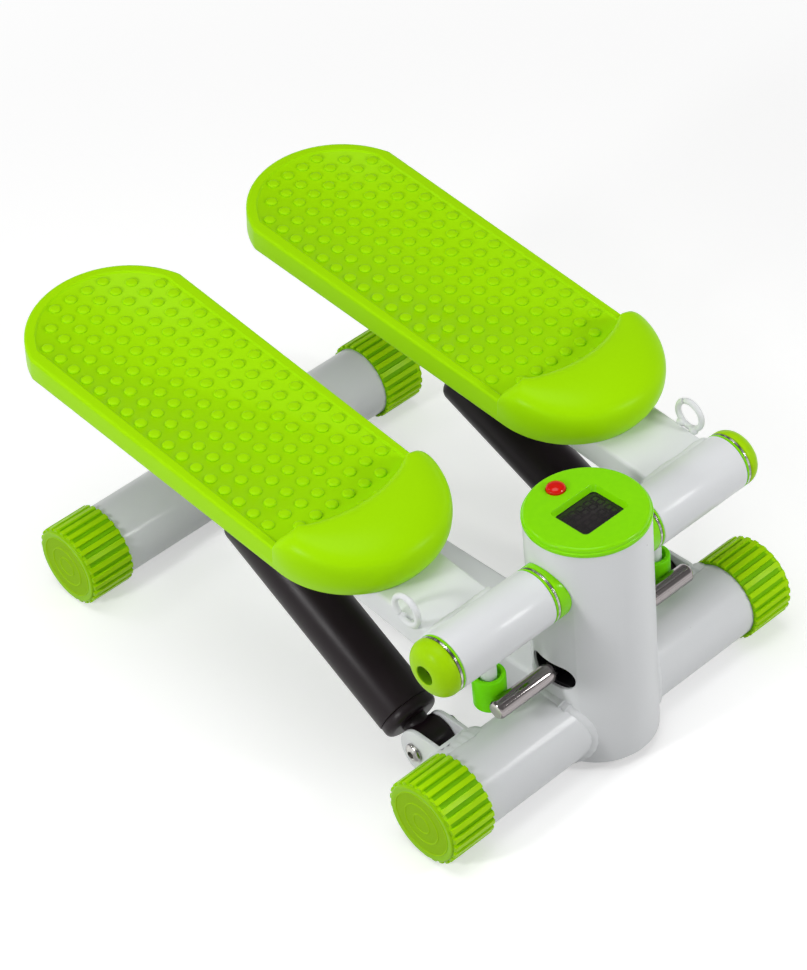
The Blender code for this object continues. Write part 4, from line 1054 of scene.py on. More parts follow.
def bumper_profile():
    drop = BAR_HEIGHT - PIVOT_HEIGHT
    top, bottom = drop + BUMPER_HEIGHT / 2, drop - BUMPER_HEIGHT / 2
    hole, mouth = STUD_RADIUS + SEAT_GAP, BUMPER_MOUTH
    foot, rim = BUMPER_FOOT_ROUND, BUMPER_TOP_ROUND
    profile = [(0, bottom)] + arc((BUMPER_RADIUS - foot, bottom + foot), foot, -math.pi / 2, 0, 5)
    profile += arc((BUMPER_RADIUS - rim, top - rim), rim, 0, math.pi / 2, 5)
    profile += [(mouth + 0.0003, top), (mouth, top - 0.0004), (mouth, top - 0.0045), (hole, top - 0.0055)]
    return profile + [(hole, top - STUD_DEPTH - SEAT_GAP), (0, top - STUD_DEPTH - SEAT_GAP)]


print("bumper profile", len(bumper_profile()), "points")

# %% Eyes, studs and bumpers in place
ARM_WELD = 0.0025
ARM_RIPPLE = 0.08
LUMP_ALONG = 0.0052
LUMP_SIZE = (0.0026, 0.0034, 0.0026)

for name, side in SIDES.items():
    across = side * (ARM_CENTRE_X + ARM_WIDTH / 2 + SEAT_GAP + RING_WIRE)
    centre = ARM @ Matrix.Translation((across, RING_ALONG, ARM_TOP + RING_RISE))
    opening = Matrix.Rotation(RING_OPENING, 4, "Z")
    dress(f"{name}_band_ring", open_ring(centre @ turn_to_x(side) @ opening))
    corners = weld_corners(ARM_OUTLINE, ARM_MIDDLE, SLEEVE_RADIUS, False)
    root = ARM @ Matrix.Translation((side * ARM_CENTRE_X, 0, 0))
    seams = [fillet(corners, ARM_WELD, root, ARM_RIPPLE)]
    for along in (-LUMP_ALONG, LUMP_ALONG):
        spot = ARM @ Vector((across - side * 0.0012, RING_ALONG + along, ARM_TOP + 0.0002))
        seams.append(lump(spot, LUMP_SIZE))
    foot = BAR_HEIGHT + BUMPER_HEIGHT / 2 - STUD_DEPTH
    stud_place = Matrix.Translation((side * BUMPER_X, POST_Y + BUMPER_Y, 0))
    stud = rod(STUD_RADIUS, foot, PIVOT_HEIGHT, 40, stud_place)
    block_outline = round_rectangle(ARM_WIDTH + 2 * SEAT_GAP, ARM_HEIGHT + 2 * SEAT_GAP, ARM_CORNER)
    arm_block = extruded(block_outline, 0, ARM_LENGTH, arm_place(side))
    dress(f"{name}_bumper_stud", carve(stud, sleeve_cutter(), arm_block))
    add_piece(joined(seams), f"{name}_arm_welds", f"{name}_arm", "white_paint", crease=60)
    cup = lathe(bumper_profile(), 56, PIVOT @ Matrix.Translation((side * BUMPER_X, BUMPER_Y, 0)))
    dress(f"{name}_bumper", cup, crease=45)

# %% [markdown]
# ## Foot plates: the rule of the rim
# A plate is one moulding: a wall, a rounded rim, a step down to the deck, and at the toe a lip that
# swells up and rolls back over the deck. It could be sculpted, but the rim and the lip are one family of
# loops: each loop has an inset and a height on the rim, and a share of the lip's depth and rise. Where
# the lip fades, the shares fade.

# %% The plate's outline
PLATE_MIDDLE = 0.200
PLATE_HALF_WIDTH = 0.0576
PLATE_TAPER = 0.0163
TOE_CENTRE = 0.1085
HEEL_CENTRE = 0.3145
HEEL_RADIUS = 0.0625
RIM_WIDTH = 0.0065
DECK_HALF_WIDTH = 0.0515
LIP_FADE_END = 0.1130


def half_width(along, inset=0.0):
    outer = PLATE_HALF_WIDTH + PLATE_TAPER * (along - PLATE_MIDDLE)
    share = min(inset / RIM_WIDTH, 1.0)
    return outer + share * (DECK_HALF_WIDTH - outer) - max(inset - RIM_WIDTH, 0.0)


def plate_outline(inset):
    """Round the plate: the toe's arc, one side, the heel's arc and the other side."""
    toe = half_width(TOE_CENTRE, inset)
    heel = HEEL_RADIUS - inset
    join = HEEL_CENTRE
    for _ in range(4):
        join = HEEL_CENTRE + math.sqrt(heel**2 - half_width(join, inset) ** 2)
    points = arc((0, TOE_CENTRE), toe, math.pi, 2 * math.pi, 72)
    fade = [math.sin(math.pi / 2 * step / 12) for step in range(1, 13)]
    stations = [TOE_CENTRE + share * (LIP_FADE_END - TOE_CENTRE) for share in fade]
    stations += [LIP_FADE_END + (join - LIP_FADE_END) * step / 14 for step in range(1, 14)]
    edge = [(half_width(along, inset), along) for along in stations]
    corner = math.atan2(join - HEEL_CENTRE, half_width(join, inset))
    points += edge + arc((0, HEEL_CENTRE), heel, corner, math.pi - corner, 56)
    return points + [(-across, along) for across, along in reversed(edge)]


print("outline points", len(plate_outline(0)))

# %% The lip's loops
LIP_RISE = 0.0184
LIP_END_RISE = 0.0162
LIP_BACK = 0.098
LIP_BACK_CURVE = 0.170
LIP_HORN_WIDTH = 0.0165
LIP_FLARE = 0.0066
LIP_END_FLARE = 0.0026
LIP_FADE_START = 0.0955


def lip_point(edge, edge_inset, depth, flare):
    """Where the lip takes a point of the edge: swollen outward, then drawn back over the deck."""
    across, front = edge
    share = min(abs(across) / half_width(TOE_CENTRE), 1.0) ** 2
    horn = math.copysign((LIP_HORN_WIDTH - 2 * edge_inset) * share, across)
    back = LIP_BACK + (across - horn) ** 2 / LIP_BACK_CURVE - edge_inset + max(front - TOE_CENTRE, 0.0)
    outward = Vector((across, min(front - TOE_CENTRE, 0.0))).normalized()
    swell = outward * flare * (LIP_FLARE + (LIP_END_FLARE - LIP_FLARE) * share)
    crest = LIP_RISE + (LIP_END_RISE - LIP_RISE) * share
    return across - depth * horn + swell.x, front + depth * (back - front) + swell.y, crest


def plate_ring(station, edges, edge_inset):
    inset, height, depth, rise, flare = station
    ring = []
    for (across, along), edge in zip(plate_outline(inset), edges):
        past = (edge[1] - LIP_FADE_START) / (LIP_FADE_END - LIP_FADE_START)
        lip = math.sqrt(1 - min(max(past, 0.0), 1.0) ** 2)
        lip_across, lip_along, crest = lip_point(edge, edge_inset, depth, flare)
        across += lip * (lip_across - across)
        along += lip * (lip_along - along)
        ring.append((across, along, height + lip * rise * crest))
    return ring


def plate_skin(stations):
    edge_inset = stations[0][0]
    edge = plate_outline(edge_inset)
    return skin([plate_ring(station, edge, edge_inset) for station in stations])


print("lip rises", LIP_RISE, "m at the toe and", LIP_END_RISE, "m at its ends")

# %% [markdown]
# ## Foot plates: wall, lip and ribs
# Outside, the loops climb the wall, round the rim and swing over the lip along two quarter ellipses: a
# long easy one in front and a short full one behind. Underneath, the plate is a shell with a grid of
# ribs, as mouldings are so that they cool evenly, so a cavity with the ribs taken out of it is cut from
# the solid.

# %% Wall, rim and lip
PLATE_BOTTOM = ARM_TOP + SEAT_GAP
DECK_STEP = 0.0012
RIM_TOP = DECK_TOP + DECK_STEP
RIM_ROUND = 0.002
WALL_FLARE = 0.92
ROUND_SHARE = 0.45
CREST_INSET = 0.75
CREST_DEPTH = 0.70
FRONT_FULLNESS = 0.93
BACK_FULLNESS = 0.667


def rim_stations(steps=14, back_steps=10):
    """Loops up the wall and over the rim: inset, height, and shares of the lip's depth, rise and flare."""
    stations = [(0.0005, PLATE_BOTTOM, 0, 0, 0)]
    wall = RIM_TOP - RIM_ROUND - PLATE_BOTTOM
    for share in (0.05, 0.2, 0.4, 0.6, 0.8):
        flare = WALL_FLARE * math.sin(share * math.pi / 2)
        stations.append((0, PLATE_BOTTOM + share * wall, 0, 0, flare))
    for step in range(steps + 1):
        share = step / steps
        turn = min(share / ROUND_SHARE, 1.0) * math.pi / 2
        flat = max(share - ROUND_SHARE, 0) / (1 - ROUND_SHARE) * (CREST_INSET * RIM_WIDTH - RIM_ROUND)
        swing = share * math.pi / 2
        inset = RIM_ROUND * (1 - math.cos(turn)) + flat
        height = RIM_TOP - RIM_ROUND * (1 - math.sin(turn))
        depth = CREST_DEPTH * (1 - math.cos(swing) ** FRONT_FULLNESS)
        flare = 1.5 * (1 - share)
        if share < 1 / 3:
            flare = WALL_FLARE + (1 - WALL_FLARE) * math.sin(share * 3 * math.pi / 2)
        stations.append((inset, height, depth, math.sin(swing) ** FRONT_FULLNESS, flare))
    for step in range(1, back_steps + 1):
        share = step / back_steps
        swing = share * math.pi / 2
        fall = max(share - 0.5, 0) * 2 * DECK_STEP
        inset = RIM_WIDTH * (CREST_INSET + (1 - CREST_INSET) * min(share * 2, 1)) + fall
        depth = CREST_DEPTH + (1 - CREST_DEPTH) * math.sin(swing) ** BACK_FULLNESS
        stations.append((inset, RIM_TOP - fall, depth, math.cos(swing) ** BACK_FULLNESS, 0))
    return stations


print("loops over the rim", len(rim_stations()))

# %% Cavity and ribs
PLATE_WALL = 0.003
DECK_THICKNESS = 0.003
RIB_HALF = 0.001
LONG_RIB_X = 0.0185
CROSS_RIBS = 7
CROSS_RIB_START = 0.1225
CROSS_RIB_PITCH = 0.036
RIB_ENDS = (-0.06, 0.38)
RIB_ASIDE = 0.12
RIB_CEILING = 0.06


def box(low, high):
    outline = [(low[0], low[1]), (high[0], low[1]), (high[0], high[1]), (low[0], high[1])]
    return extruded(outline, low[2], high[2])


def plate_cavity():
    wall, under = PLATE_WALL, DECK_TOP - DECK_THICKNESS
    stations = [(wall, PLATE_BOTTOM - wall, 0, 0, 0), (wall, PLATE_BOTTOM, 0, 0, 0)]
    stations += [(wall, PLATE_BOTTOM + 0.006, 0, 0, 0.62), (wall, under - wall / 2, 0, 0, 0.90)]
    stations.append((wall + RIM_ROUND, under, 0.15, 0.60, 0.75))
    stations.append((wall + RIM_WIDTH * 0.5, under, 0.42, 0.88, 0.35))
    stations.append((wall + RIM_WIDTH * 0.75, under, 0.78, 0.94, 0))
    stations.append((wall + RIM_WIDTH, under, 0.97, 0, 0))
    low = PLATE_BOTTOM - 2 * wall
    ribs = []
    for x in (-LONG_RIB_X, LONG_RIB_X):
        ribs.append(box((x - RIB_HALF, RIB_ENDS[0], low), (x + RIB_HALF, RIB_ENDS[1], RIB_CEILING)))
    for index in range(CROSS_RIBS):
        along = CROSS_RIB_START + CROSS_RIB_PITCH * index
        near, far = (-RIB_ASIDE, along - RIB_HALF, low), (RIB_ASIDE, along + RIB_HALF, under + wall / 2)
        ribs.append(box(near, far))
    return carve(plate_skin(stations), *ribs)


print("ribs under a deck", CROSS_RIBS, "across and 2 along")

# %% Studs on the deck
DECK_STUD_PROFILE = ((0.0041, -0.0003), (0.0040, 0.0004), (0.0034, 0.0011), (0.0022, 0.0013), (0, 0.0014))
DECK_STUD_PITCH = (0.0128, 0.01282)
DECK_STUD_LAST = 0.3602
DECK_STUD_ROWS = 21
DECK_COLUMNS = 4
HEEL_COLUMNS = (2, 3)
OUTER_COLUMN_X = 0.040
OUTER_COLUMN_START = 0.120
LIP_COVER = 0.0015


def deck_studs():
    """Low round studs in a square grid, fewer across the heel, with the front ones half under the lip."""
    dome = lathe(DECK_STUD_PROFILE, 12)
    studs = bmesh.new()
    mesh = bpy.data.meshes.new("stud")
    dome.to_mesh(mesh)
    dome.free()
    for row in range(DECK_STUD_ROWS):
        along = DECK_STUD_LAST - DECK_STUD_PITCH[1] * row
        columns = HEEL_COLUMNS[row] if row < len(HEEL_COLUMNS) else DECK_COLUMNS
        for column in range(-columns, columns):
            across = (column + 0.5) * DECK_STUD_PITCH[0]
            clear = LIP_BACK + across**2 / LIP_BACK_CURVE - LIP_COVER
            if along > clear and (abs(across) < OUTER_COLUMN_X or along > OUTER_COLUMN_START):
                known = len(studs.verts)
                studs.from_mesh(mesh)
                studs.verts.ensure_lookup_table()
                bmesh.ops.translate(studs, vec=(across, along, DECK_TOP), verts=studs.verts[known:])
    bpy.data.meshes.remove(mesh)
    return studs


for name, side in SIDES.items():
    shell = carve(plate_skin(rim_stations()), plate_cavity())
    studs = deck_studs()
    place = ARM @ Matrix.Translation((side * ARM_CENTRE_X, 0, 0))
    for shape in (shell, studs):
        bmesh.ops.transform(shape, matrix=place, verts=shape.verts)
    dress(f"{name}_foot_plate", shell, crease=50)
    # The studs take the finish with painted shade at their feet.
    add_piece(studs, f"{name}_deck_studs", f"{name}_arm", "lime_plate", finish="lime_stud_painted_shade", crease=50)

# %% [markdown]
# ## Damping cylinders
# A cylinder leans from a clevis on the base up to a bracket under the arm. Its body is a drawn can with a
# rounded shoulder, a crease where the lower plug is rolled in, and a barrel eye across its end. Both pins
# are known, so the can is turned upright and then aimed from one pin to the other.

# %% Pins and the cylinder's frame
LOWER_PIN = (0.0984, 0.0436, 0.0313)
UPPER_PIN = (0.0911, 0.2517, -0.0297)


def lower_pin(side):
    return Vector((side * LOWER_PIN[0], POST_Y + LOWER_PIN[1], LOWER_PIN[2]))


def upper_pin(side):
    return ARM @ Vector((side * UPPER_PIN[0], UPPER_PIN[1], UPPER_PIN[2]))


def cylinder_frame(side):
    """Origin on the lower pin, Z toward the upper pin, X nearly along the pins."""
    along = (upper_pin(side) - lower_pin(side)).normalized()
    across = (Vector((1, 0, 0)) - along * along.x).normalized()
    turn = Matrix((across, along.cross(across), along)).transposed().to_4x4()
    return Matrix.Translation(lower_pin(side)) @ turn


print("pins", round((upper_pin(1) - lower_pin(1)).length, 4), "m apart")

# %% Can and rod
BODY_RADIUS = 0.0189
BODY_START = 0.0165
BODY_LENGTH = 0.169
BODY_TOP = BODY_START + BODY_LENGTH
SHOULDER_ROUND = 0.0065
PLUG_ROUND = 0.0040
PLUG_CREASE = 0.0075
PLUG_STEP = 0.0004
CREASE_ROUND = 0.0009
NECK_RADIUS = 0.0085
GLAND_DEPTH = 0.014
CHAMBER_DEPTH = 0.145
CAN_WALL = 0.0029
CHAMBER_RADIUS = BODY_RADIUS - CAN_WALL
ROD_RADIUS = 0.006
PISTON_RADIUS = CHAMBER_RADIUS - SEAT_GAP
PISTON_DEPTH = 0.088
PISTON_LENGTH = 0.012


def can_profile():
    plug, crease = BODY_RADIUS - PLUG_STEP, BODY_START + PLUG_CREASE
    profile = [(0, 0), (NECK_RADIUS, 0), (NECK_RADIUS, BODY_START)]
    profile += arc((plug - PLUG_ROUND, BODY_START + PLUG_ROUND), PLUG_ROUND, -math.pi / 2, 0, 10)
    profile += [(plug, crease - 0.0004), (plug - 0.0003, crease)]
    profile += arc((BODY_RADIUS - CREASE_ROUND, crease + 0.0012), CREASE_ROUND, -math.pi / 2, 0, 5)
    shoulder = (BODY_RADIUS - SHOULDER_ROUND, BODY_TOP - SHOULDER_ROUND)
    profile += arc(shoulder, SHOULDER_ROUND, 0, math.pi / 2, 8)
    mouth, gland, floor = ROD_RADIUS + SEAT_GAP, BODY_TOP - GLAND_DEPTH, BODY_TOP - CHAMBER_DEPTH
    profile += [(mouth, BODY_TOP), (mouth, gland), (CHAMBER_RADIUS, gland)]
    return profile + [(CHAMBER_RADIUS, floor), (0, floor)]


def rod_profile(length):
    start = BODY_TOP - PISTON_DEPTH
    end = start + PISTON_LENGTH
    profile = [(0, start), (PISTON_RADIUS, start), (PISTON_RADIUS, end), (ROD_RADIUS, end)]
    return profile + [(ROD_RADIUS, length), (0, length)]


print("can profile", len(can_profile()), "points")

# %% Cylinders in place
PIN_RADIUS = 0.004
LOWER_EYE_RADIUS = 0.0138
LOWER_EYE_HALF = 0.0093
UPPER_EYE_RADIUS = 0.0105
UPPER_EYE_HALF = 0.008
UPPER_EYE_PLAY = 0.0026
LOWER_EYE_ROUND = 0.0008

for name, side in SIDES.items():
    pin_place = Matrix.Translation(lower_pin(side)) @ turn_to_x(1)
    eye = soften(rod(LOWER_EYE_RADIUS, -LOWER_EYE_HALF, LOWER_EYE_HALF, 56, pin_place), LOWER_EYE_ROUND)
    body = carve(lathe(can_profile(), 72, cylinder_frame(side)), eye, operation="UNION")
    dress(f"{name}_cylinder", carve(body, through(PIN_RADIUS + SEAT_GAP, 32, pin_place)), crease=40)
    length = (upper_pin(side) - lower_pin(side)).length
    shaft = lathe(rod_profile(length), 40, cylinder_frame(side))
    pin_place = Matrix.Translation(upper_pin(side)) @ ARM.to_3x3().to_4x4() @ turn_to_x(1)
    eye = soften(rod(UPPER_EYE_RADIUS, -UPPER_EYE_HALF, UPPER_EYE_HALF, 48, pin_place), PAINTED_EDGE)
    shaft = carve(shaft, eye, operation="UNION")
    dress(f"{name}_piston_rod", carve(shaft, through(PIN_RADIUS + UPPER_EYE_PLAY, 36, pin_place)))

# %% [markdown]
# ## Clevises, pins and nuts
# A clevis is a strip bent into a U, with rounded ears for the pin. The bent strip is extruded upward and
# then trimmed by the ear's outline, extruded across it, which is just how a press tool would bend and
# blank it. The lower ones are welded to the front tubes, the upper ones hang under the arms.

# %% Clevis shape
CLEVIS_THICKNESS = 0.003
CLEVIS_BEND = 0.0035
NUT_CHAMFER = 0.0010


def clevis_shape(half_gap, half_height, overhang, web, place):
    outer, bend = half_gap + CLEVIS_THICKNESS, CLEVIS_BEND
    edge = arc((-outer + bend, -web + bend), bend, math.pi, 1.5 * math.pi, 6)
    edge += arc((outer - bend, -web + bend), bend, 1.5 * math.pi, 2 * math.pi, 6)
    floor = -web + CLEVIS_THICKNESS
    edge += [(outer, overhang), (half_gap, overhang), (half_gap, floor)]
    edge += [(-half_gap, floor), (-half_gap, overhang), (-outer, overhang)]
    strip = extruded(edge, -half_height, half_height)
    corner = half_height * 0.97
    flat, centre = half_height - corner, overhang - corner
    ear = [(-half_height, -web)] + arc((-flat, centre), corner, math.pi, math.pi / 2, 12)
    ear += arc((flat, centre), corner, math.pi / 2, 0, 12) + [(half_height, -web)]
    blank = extruded(ear, -2 * outer, 2 * outer, Matrix.Rotation(math.pi / 2, 4, "Y"))
    shape = carve(strip, blank, operation="INTERSECT")
    bmesh.ops.dissolve_limit(shape, angle_limit=math.radians(1), verts=shape.verts, edges=shape.edges)
    soften(shape, PAINTED_EDGE, 2, 50)
    shape = carve(shape, through(PIN_RADIUS + SEAT_GAP, 32, turn_to_x(1)))
    bmesh.ops.transform(shape, matrix=place, verts=shape.verts)
    return shape


def hex_nut(radius, height, start, place):
    """A nut with its corners turned off, as a lathe does."""
    end, flat, corner = start - height, radius * 0.93, radius * 1.02
    crown = [(0, start), (flat, start), (corner, start - NUT_CHAMFER), (corner, end + NUT_CHAMFER)]
    turned = lathe(crown + [(flat, end), (0, end)], 40, place)
    nut = carve(rod(radius, end, start, 6, place), turned, operation="INTERSECT")
    return carve(nut, through(PIN_RADIUS + SEAT_GAP, 32, place))


print("clevis strip", CLEVIS_THICKNESS, "m thick")

# %% Clevises in place
LOWER_HALF_GAP = 0.0098
LOWER_HALF_HEIGHT = 0.0165
LOWER_OVERHANG = 0.0125
LOWER_WEB_Y = 0.0205
UPPER_HALF_GAP = 0.0092
UPPER_HALF_HEIGHT = 0.012
UPPER_OVERHANG = 0.010
PIN_HEAD_RADIUS = 0.0063
CLEVIS_BOLT_HEAD = 0.0036
CLEVIS_BOLT_TAIL = 0.008
ROD_PIN_HEAD = 0.0018
ROD_PIN_TAIL = 0.0015
NUT_RADIUS = 0.0075
NUT_HEIGHT = 0.0065
CLEVIS_WELD = 0.0046
CLEVIS_RIPPLE = 0.14
clevis_welds = []
for name, side in SIDES.items():
    place = Matrix.Translation(lower_pin(side))
    web = LOWER_PIN[1] - LOWER_WEB_Y
    strip = clevis_shape(LOWER_HALF_GAP, LOWER_HALF_HEIGHT, LOWER_OVERHANG, web, place)
    dress(f"{name}_clevis", carve(strip, base_tube_cutter("front")))
    face = LOWER_HALF_GAP + CLEVIS_THICKNESS + SEAT_GAP
    turn = place @ turn_to_x(side)
    tail = -face - CLEVIS_BOLT_TAIL
    dress(f"{name}_clevis_bolt", socket_head(PIN_HEAD_RADIUS, CLEVIS_BOLT_HEAD, face, PIN_RADIUS, tail, turn))
    dress(f"{name}_clevis_nut", hex_nut(NUT_RADIUS, NUT_HEIGHT, -face, turn))
    web_outline = round_rectangle(2 * (LOWER_HALF_GAP + CLEVIS_THICKNESS), 2 * LOWER_HALF_HEIGHT, 0.002)
    corners = weld_corners(web_outline, LOWER_PIN[2] - BASE_HEIGHT, BASE_TUBE_RADIUS, False)
    root = Matrix.Translation((side * LOWER_PIN[0], POST_Y, BASE_HEIGHT))
    clevis_welds.append(fillet(corners, CLEVIS_WELD, root, CLEVIS_RIPPLE))
    bracket_place = ARM @ Matrix.Translation((side * UPPER_PIN[0], UPPER_PIN[1], UPPER_PIN[2]))
    hang = bracket_place @ Matrix.Rotation(-math.pi / 2, 4, "X")
    web = -UPPER_PIN[2] + ARM_TOP - ARM_HEIGHT - SEAT_GAP
    bracket = clevis_shape(UPPER_HALF_GAP, UPPER_HALF_HEIGHT, UPPER_OVERHANG, web, hang)
    dress(f"{name}_rod_bracket", bracket)
    face = UPPER_HALF_GAP + CLEVIS_THICKNESS + SEAT_GAP
    turn = bracket_place @ turn_to_x(side)
    tail = -face - ROD_PIN_TAIL
    dress(f"{name}_rod_pin", socket_head(PIN_HEAD_RADIUS, ROD_PIN_HEAD, face, PIN_RADIUS, tail, turn))
add_piece(joined(clevis_welds), "clevis_welds", "base", "white_paint", crease=60)

# %% [markdown]
# ## Rocker bar
# A plain bright bar goes through the post, pivots on a pin inside it and pushes on the two bumpers in
# turn. It is turned with a broad rounding at each end, where the saw cut was dressed on a grinder.

# %% Rocker bar
BAR_HALF_LENGTH = 0.0831
BAR_ROUND = 0.0030
BAR_PIN_HOLE = 0.0043
half_bar = [(0, BAR_HALF_LENGTH)]
half_bar += arc((BAR_RADIUS - BAR_ROUND, BAR_HALF_LENGTH - BAR_ROUND), BAR_ROUND, math.pi / 2, 0, 8)
bar_place = Matrix.Translation((0, POST_Y, BAR_HEIGHT))
other_half = [(radius, -height) for radius, height in reversed(half_bar)]
bar = lathe(half_bar + other_half, 56, bar_place @ turn_to_x(1))
dress("rocker_bar", carve(bar, through(BAR_PIN_HOLE, 24, bar_place)), crease=30)

# %% [markdown]
# ## Display
# The counter sits under a round green cover with a stepped rim. Its window is a tapered well with soft
# edges, with the pane at the bottom, and a red button stands in its own hole behind it. The cover is
# turned, the well and the hole are cut, and only then are the well's upper edges rounded.

# %% Cover
COVER_BASE = POST_TOP + SEAT_GAP
FLANGE_PROUD = 0.0005
TIER_STEP = 0.0009
FLANGE_RADIUS = POST_RADIUS + FLANGE_PROUD
TIER_RADIUS = FLANGE_RADIUS - TIER_STEP
FLANGE_HEIGHT = 0.0026
TIER_HEIGHT = 0.0029
TIER_ROUND = 0.0023
FLANGE_ROUND = 0.0005
COVER_CHAMFER = 0.0003
SKIRT_DEPTH = 0.008
SKIRT_WALL = 0.002
COVER_TOP = FLANGE_HEIGHT + TIER_HEIGHT
WINDOW_Y = -0.0025
WINDOW = (0.0366, 0.0298)
WINDOW_CORNER = 0.003
WINDOW_TAPER = 0.0016
WINDOW_ROUND = 0.0018
COVER_PLATE = 0.004
COVER_UNDER = COVER_TOP - COVER_PLATE
BUTTON_Y = 0.025
BUTTON_RADIUS = 0.006
COVER_PLACE = Matrix.Translation((0, POST_Y, COVER_BASE))


def window_ring(height):
    shrink = 2 * WINDOW_TAPER * (COVER_TOP - height) / COVER_PLATE
    outline = round_rectangle(WINDOW[0] - shrink, WINDOW[1] - shrink, WINDOW_CORNER)
    return [(x, y + WINDOW_Y, height) for x, y in outline]


def cover_shape():
    skirt = POST_RADIUS - POST_WALL - SEAT_GAP
    inside = skirt - SKIRT_WALL
    tier = (TIER_RADIUS - TIER_ROUND, COVER_TOP - TIER_ROUND)
    rim = (FLANGE_RADIUS - FLANGE_ROUND, FLANGE_HEIGHT - FLANGE_ROUND)
    profile = [(0, COVER_TOP)] + arc(tier, TIER_ROUND, math.pi / 2, 0, 10)
    profile += [(TIER_RADIUS, FLANGE_HEIGHT + COVER_CHAMFER), (TIER_RADIUS + COVER_CHAMFER, FLANGE_HEIGHT)]
    profile += arc(rim, FLANGE_ROUND, math.pi / 2, 0, 4)
    profile += [(FLANGE_RADIUS, COVER_CHAMFER), (FLANGE_RADIUS - COVER_CHAMFER, 0), (skirt, 0)]
    profile += [(skirt, -SKIRT_DEPTH), (inside, -SKIRT_DEPTH), (inside, COVER_UNDER), (0, COVER_UNDER)]
    well = skin([window_ring(COVER_UNDER - 0.001), window_ring(COVER_TOP + 0.001)])
    hole = through(BUTTON_RADIUS + SEAT_GAP, 48, Matrix.Translation((0, BUTTON_Y, 0)))
    shape = in_order(carve(lathe(profile, 96), well, hole))
    bmesh.ops.dissolve_limit(shape, angle_limit=math.radians(1), verts=shape.verts, edges=shape.edges)

    def well_rim(edge):
        top = all(abs(v.co.z - COVER_TOP) < 1e-5 for v in edge.verts)
        return top and all(math.hypot(v.co.x, v.co.y) < TIER_RADIUS - 0.003 for v in edge.verts)

    soften(shape, WINDOW_ROUND, 6, 30, well_rim)
    bmesh.ops.transform(shape, matrix=COVER_PLACE, verts=shape.verts)
    return shape


dress("display_cover", cover_shape(), crease=40)

# %% Pane
PANE_MARGIN = 0.003
PANE_THICKNESS = 0.0012
pane_top = COVER_UNDER - SEAT_GAP
pane_place = COVER_PLACE @ Matrix.Translation((0, WINDOW_Y, 0))
pane_outline = round_rectangle(WINDOW[0] + 2 * PANE_MARGIN, WINDOW[1] + 2 * PANE_MARGIN, WINDOW_CORNER)
pane = extruded(pane_outline, pane_top - PANE_THICKNESS, pane_top, pane_place)
dress("display_glass", soften(pane, FINE_EDGE, 2))

# %% [markdown]
# ## Ghost digits
# With the counter off, its seven-segment digits still show as ghosts. They face the user, so they are
# read from the heel side. Each segment is one thin bar, and a digit is seven of them laid out by a small
# table of places, which is less work than cutting shapes for numerals and right for every number.

# %% Digits on the pane
SEGMENTS = ((0, 1, 0), (0, 0, 0), (0, -1, 0), (-0.5, 0.5, 1), (0.5, 0.5, 1), (-0.5, -0.5, 1), (0.5, -0.5, 1))
DIGITS = 5
DIGIT_HEIGHT = 0.0088
DIGIT_PITCH = 0.0062
DIGIT_ROW = 0.0056
SEGMENT_THICKNESS = 0.00006
SEGMENT_LIFT = 0.00004


def digit(centre, height):
    """Seven bars of an eight. A segment is (across, up, upright) in shares of the digit."""
    width, line = height * 0.52, height * 0.11
    bars = []
    for across, up, upright in SEGMENTS:
        long_side = height / 2 - line * 0.9 if upright else width - line * 0.9
        size = (line, long_side) if upright else (long_side, line)
        spot = (centre[0] - across * width, centre[1] - up * height / 2 * 0.94, pane_top + SEGMENT_LIFT)
        place = Matrix.Translation(spot) @ Matrix.Diagonal((*size, SEGMENT_THICKNESS, 1))
        shape = bmesh.new()
        bmesh.ops.create_cube(shape, size=1.0, matrix=place)
        bars.append(shape)
    return joined(bars)


digits = []
for row in (-DIGIT_ROW, DIGIT_ROW):
    for index in range(DIGITS):
        centre = ((index - (DIGITS - 1) / 2) * DIGIT_PITCH, row)
        digits.append(digit(centre, DIGIT_HEIGHT))
ghosts = joined(digits)
bmesh.ops.transform(ghosts, matrix=pane_place, verts=ghosts.verts)
add_piece(ghosts, "ghost_digits", "base", "display_glass", finish="ghost_digit")

# %% [markdown]
# ## Button
# The button is a red dome on a flange that keeps it in. Only the dome shows; the flange is modelled too,
# so that the piece stays whole when the button is pressed and the light falls past its edge.

# %% Button
BUTTON_DOME = 0.0030
BUTTON_PROUD = 0.0005
BUTTON_FLANGE_RADIUS = BUTTON_RADIUS + 0.001
BUTTON_FLANGE_HEIGHT = 0.0012
shoulder = COVER_TOP + BUTTON_PROUD
seat = COVER_UNDER - SEAT_GAP
foot = seat - BUTTON_FLANGE_HEIGHT
profile = [(BUTTON_RADIUS * math.sin(t), shoulder + BUTTON_DOME * math.cos(t)) for t in quarter_turn(14)]
profile += [(BUTTON_RADIUS, seat), (BUTTON_FLANGE_RADIUS, seat), (BUTTON_FLANGE_RADIUS, foot), (0, foot)]
dress("display_button", lathe(profile, 56, COVER_PLACE @ Matrix.Translation((0, BUTTON_Y, 0))))

# %% [markdown]
# ## Finishes for the solids underneath
# Every solid of the frame gets its finish, those that a fine piece hides as well, so that nothing is left
# in plain grey if a solid is shown by itself. The few that stay in view inside the post, such as the
# black rocker carrier, need no finer shape.

# %% Dress the solids
for node, solid in frame["nodes"].items():
    solid.data.materials.clear()
    solid.data.materials.append(FINISHES[NODE_SLOT[node]])
shown = [node for node, solid in frame["nodes"].items() if not solid.hide_render]
print("solids still shown", shown)

# %% [markdown]
# ## Floor and light
# The stepper stands in a studio with white walls and a dim ceiling. The floor keeps a soft shadow; to the
# camera and in reflections it is brighter than to the object, so that it reads as white without throwing
# much light up, and further out it goes over into the white of the walls. A wide lamp overhead and
# smaller ones from the left, the front and behind give the shapes their form, the caps their toothed
# shadows and the gloss its highlights.

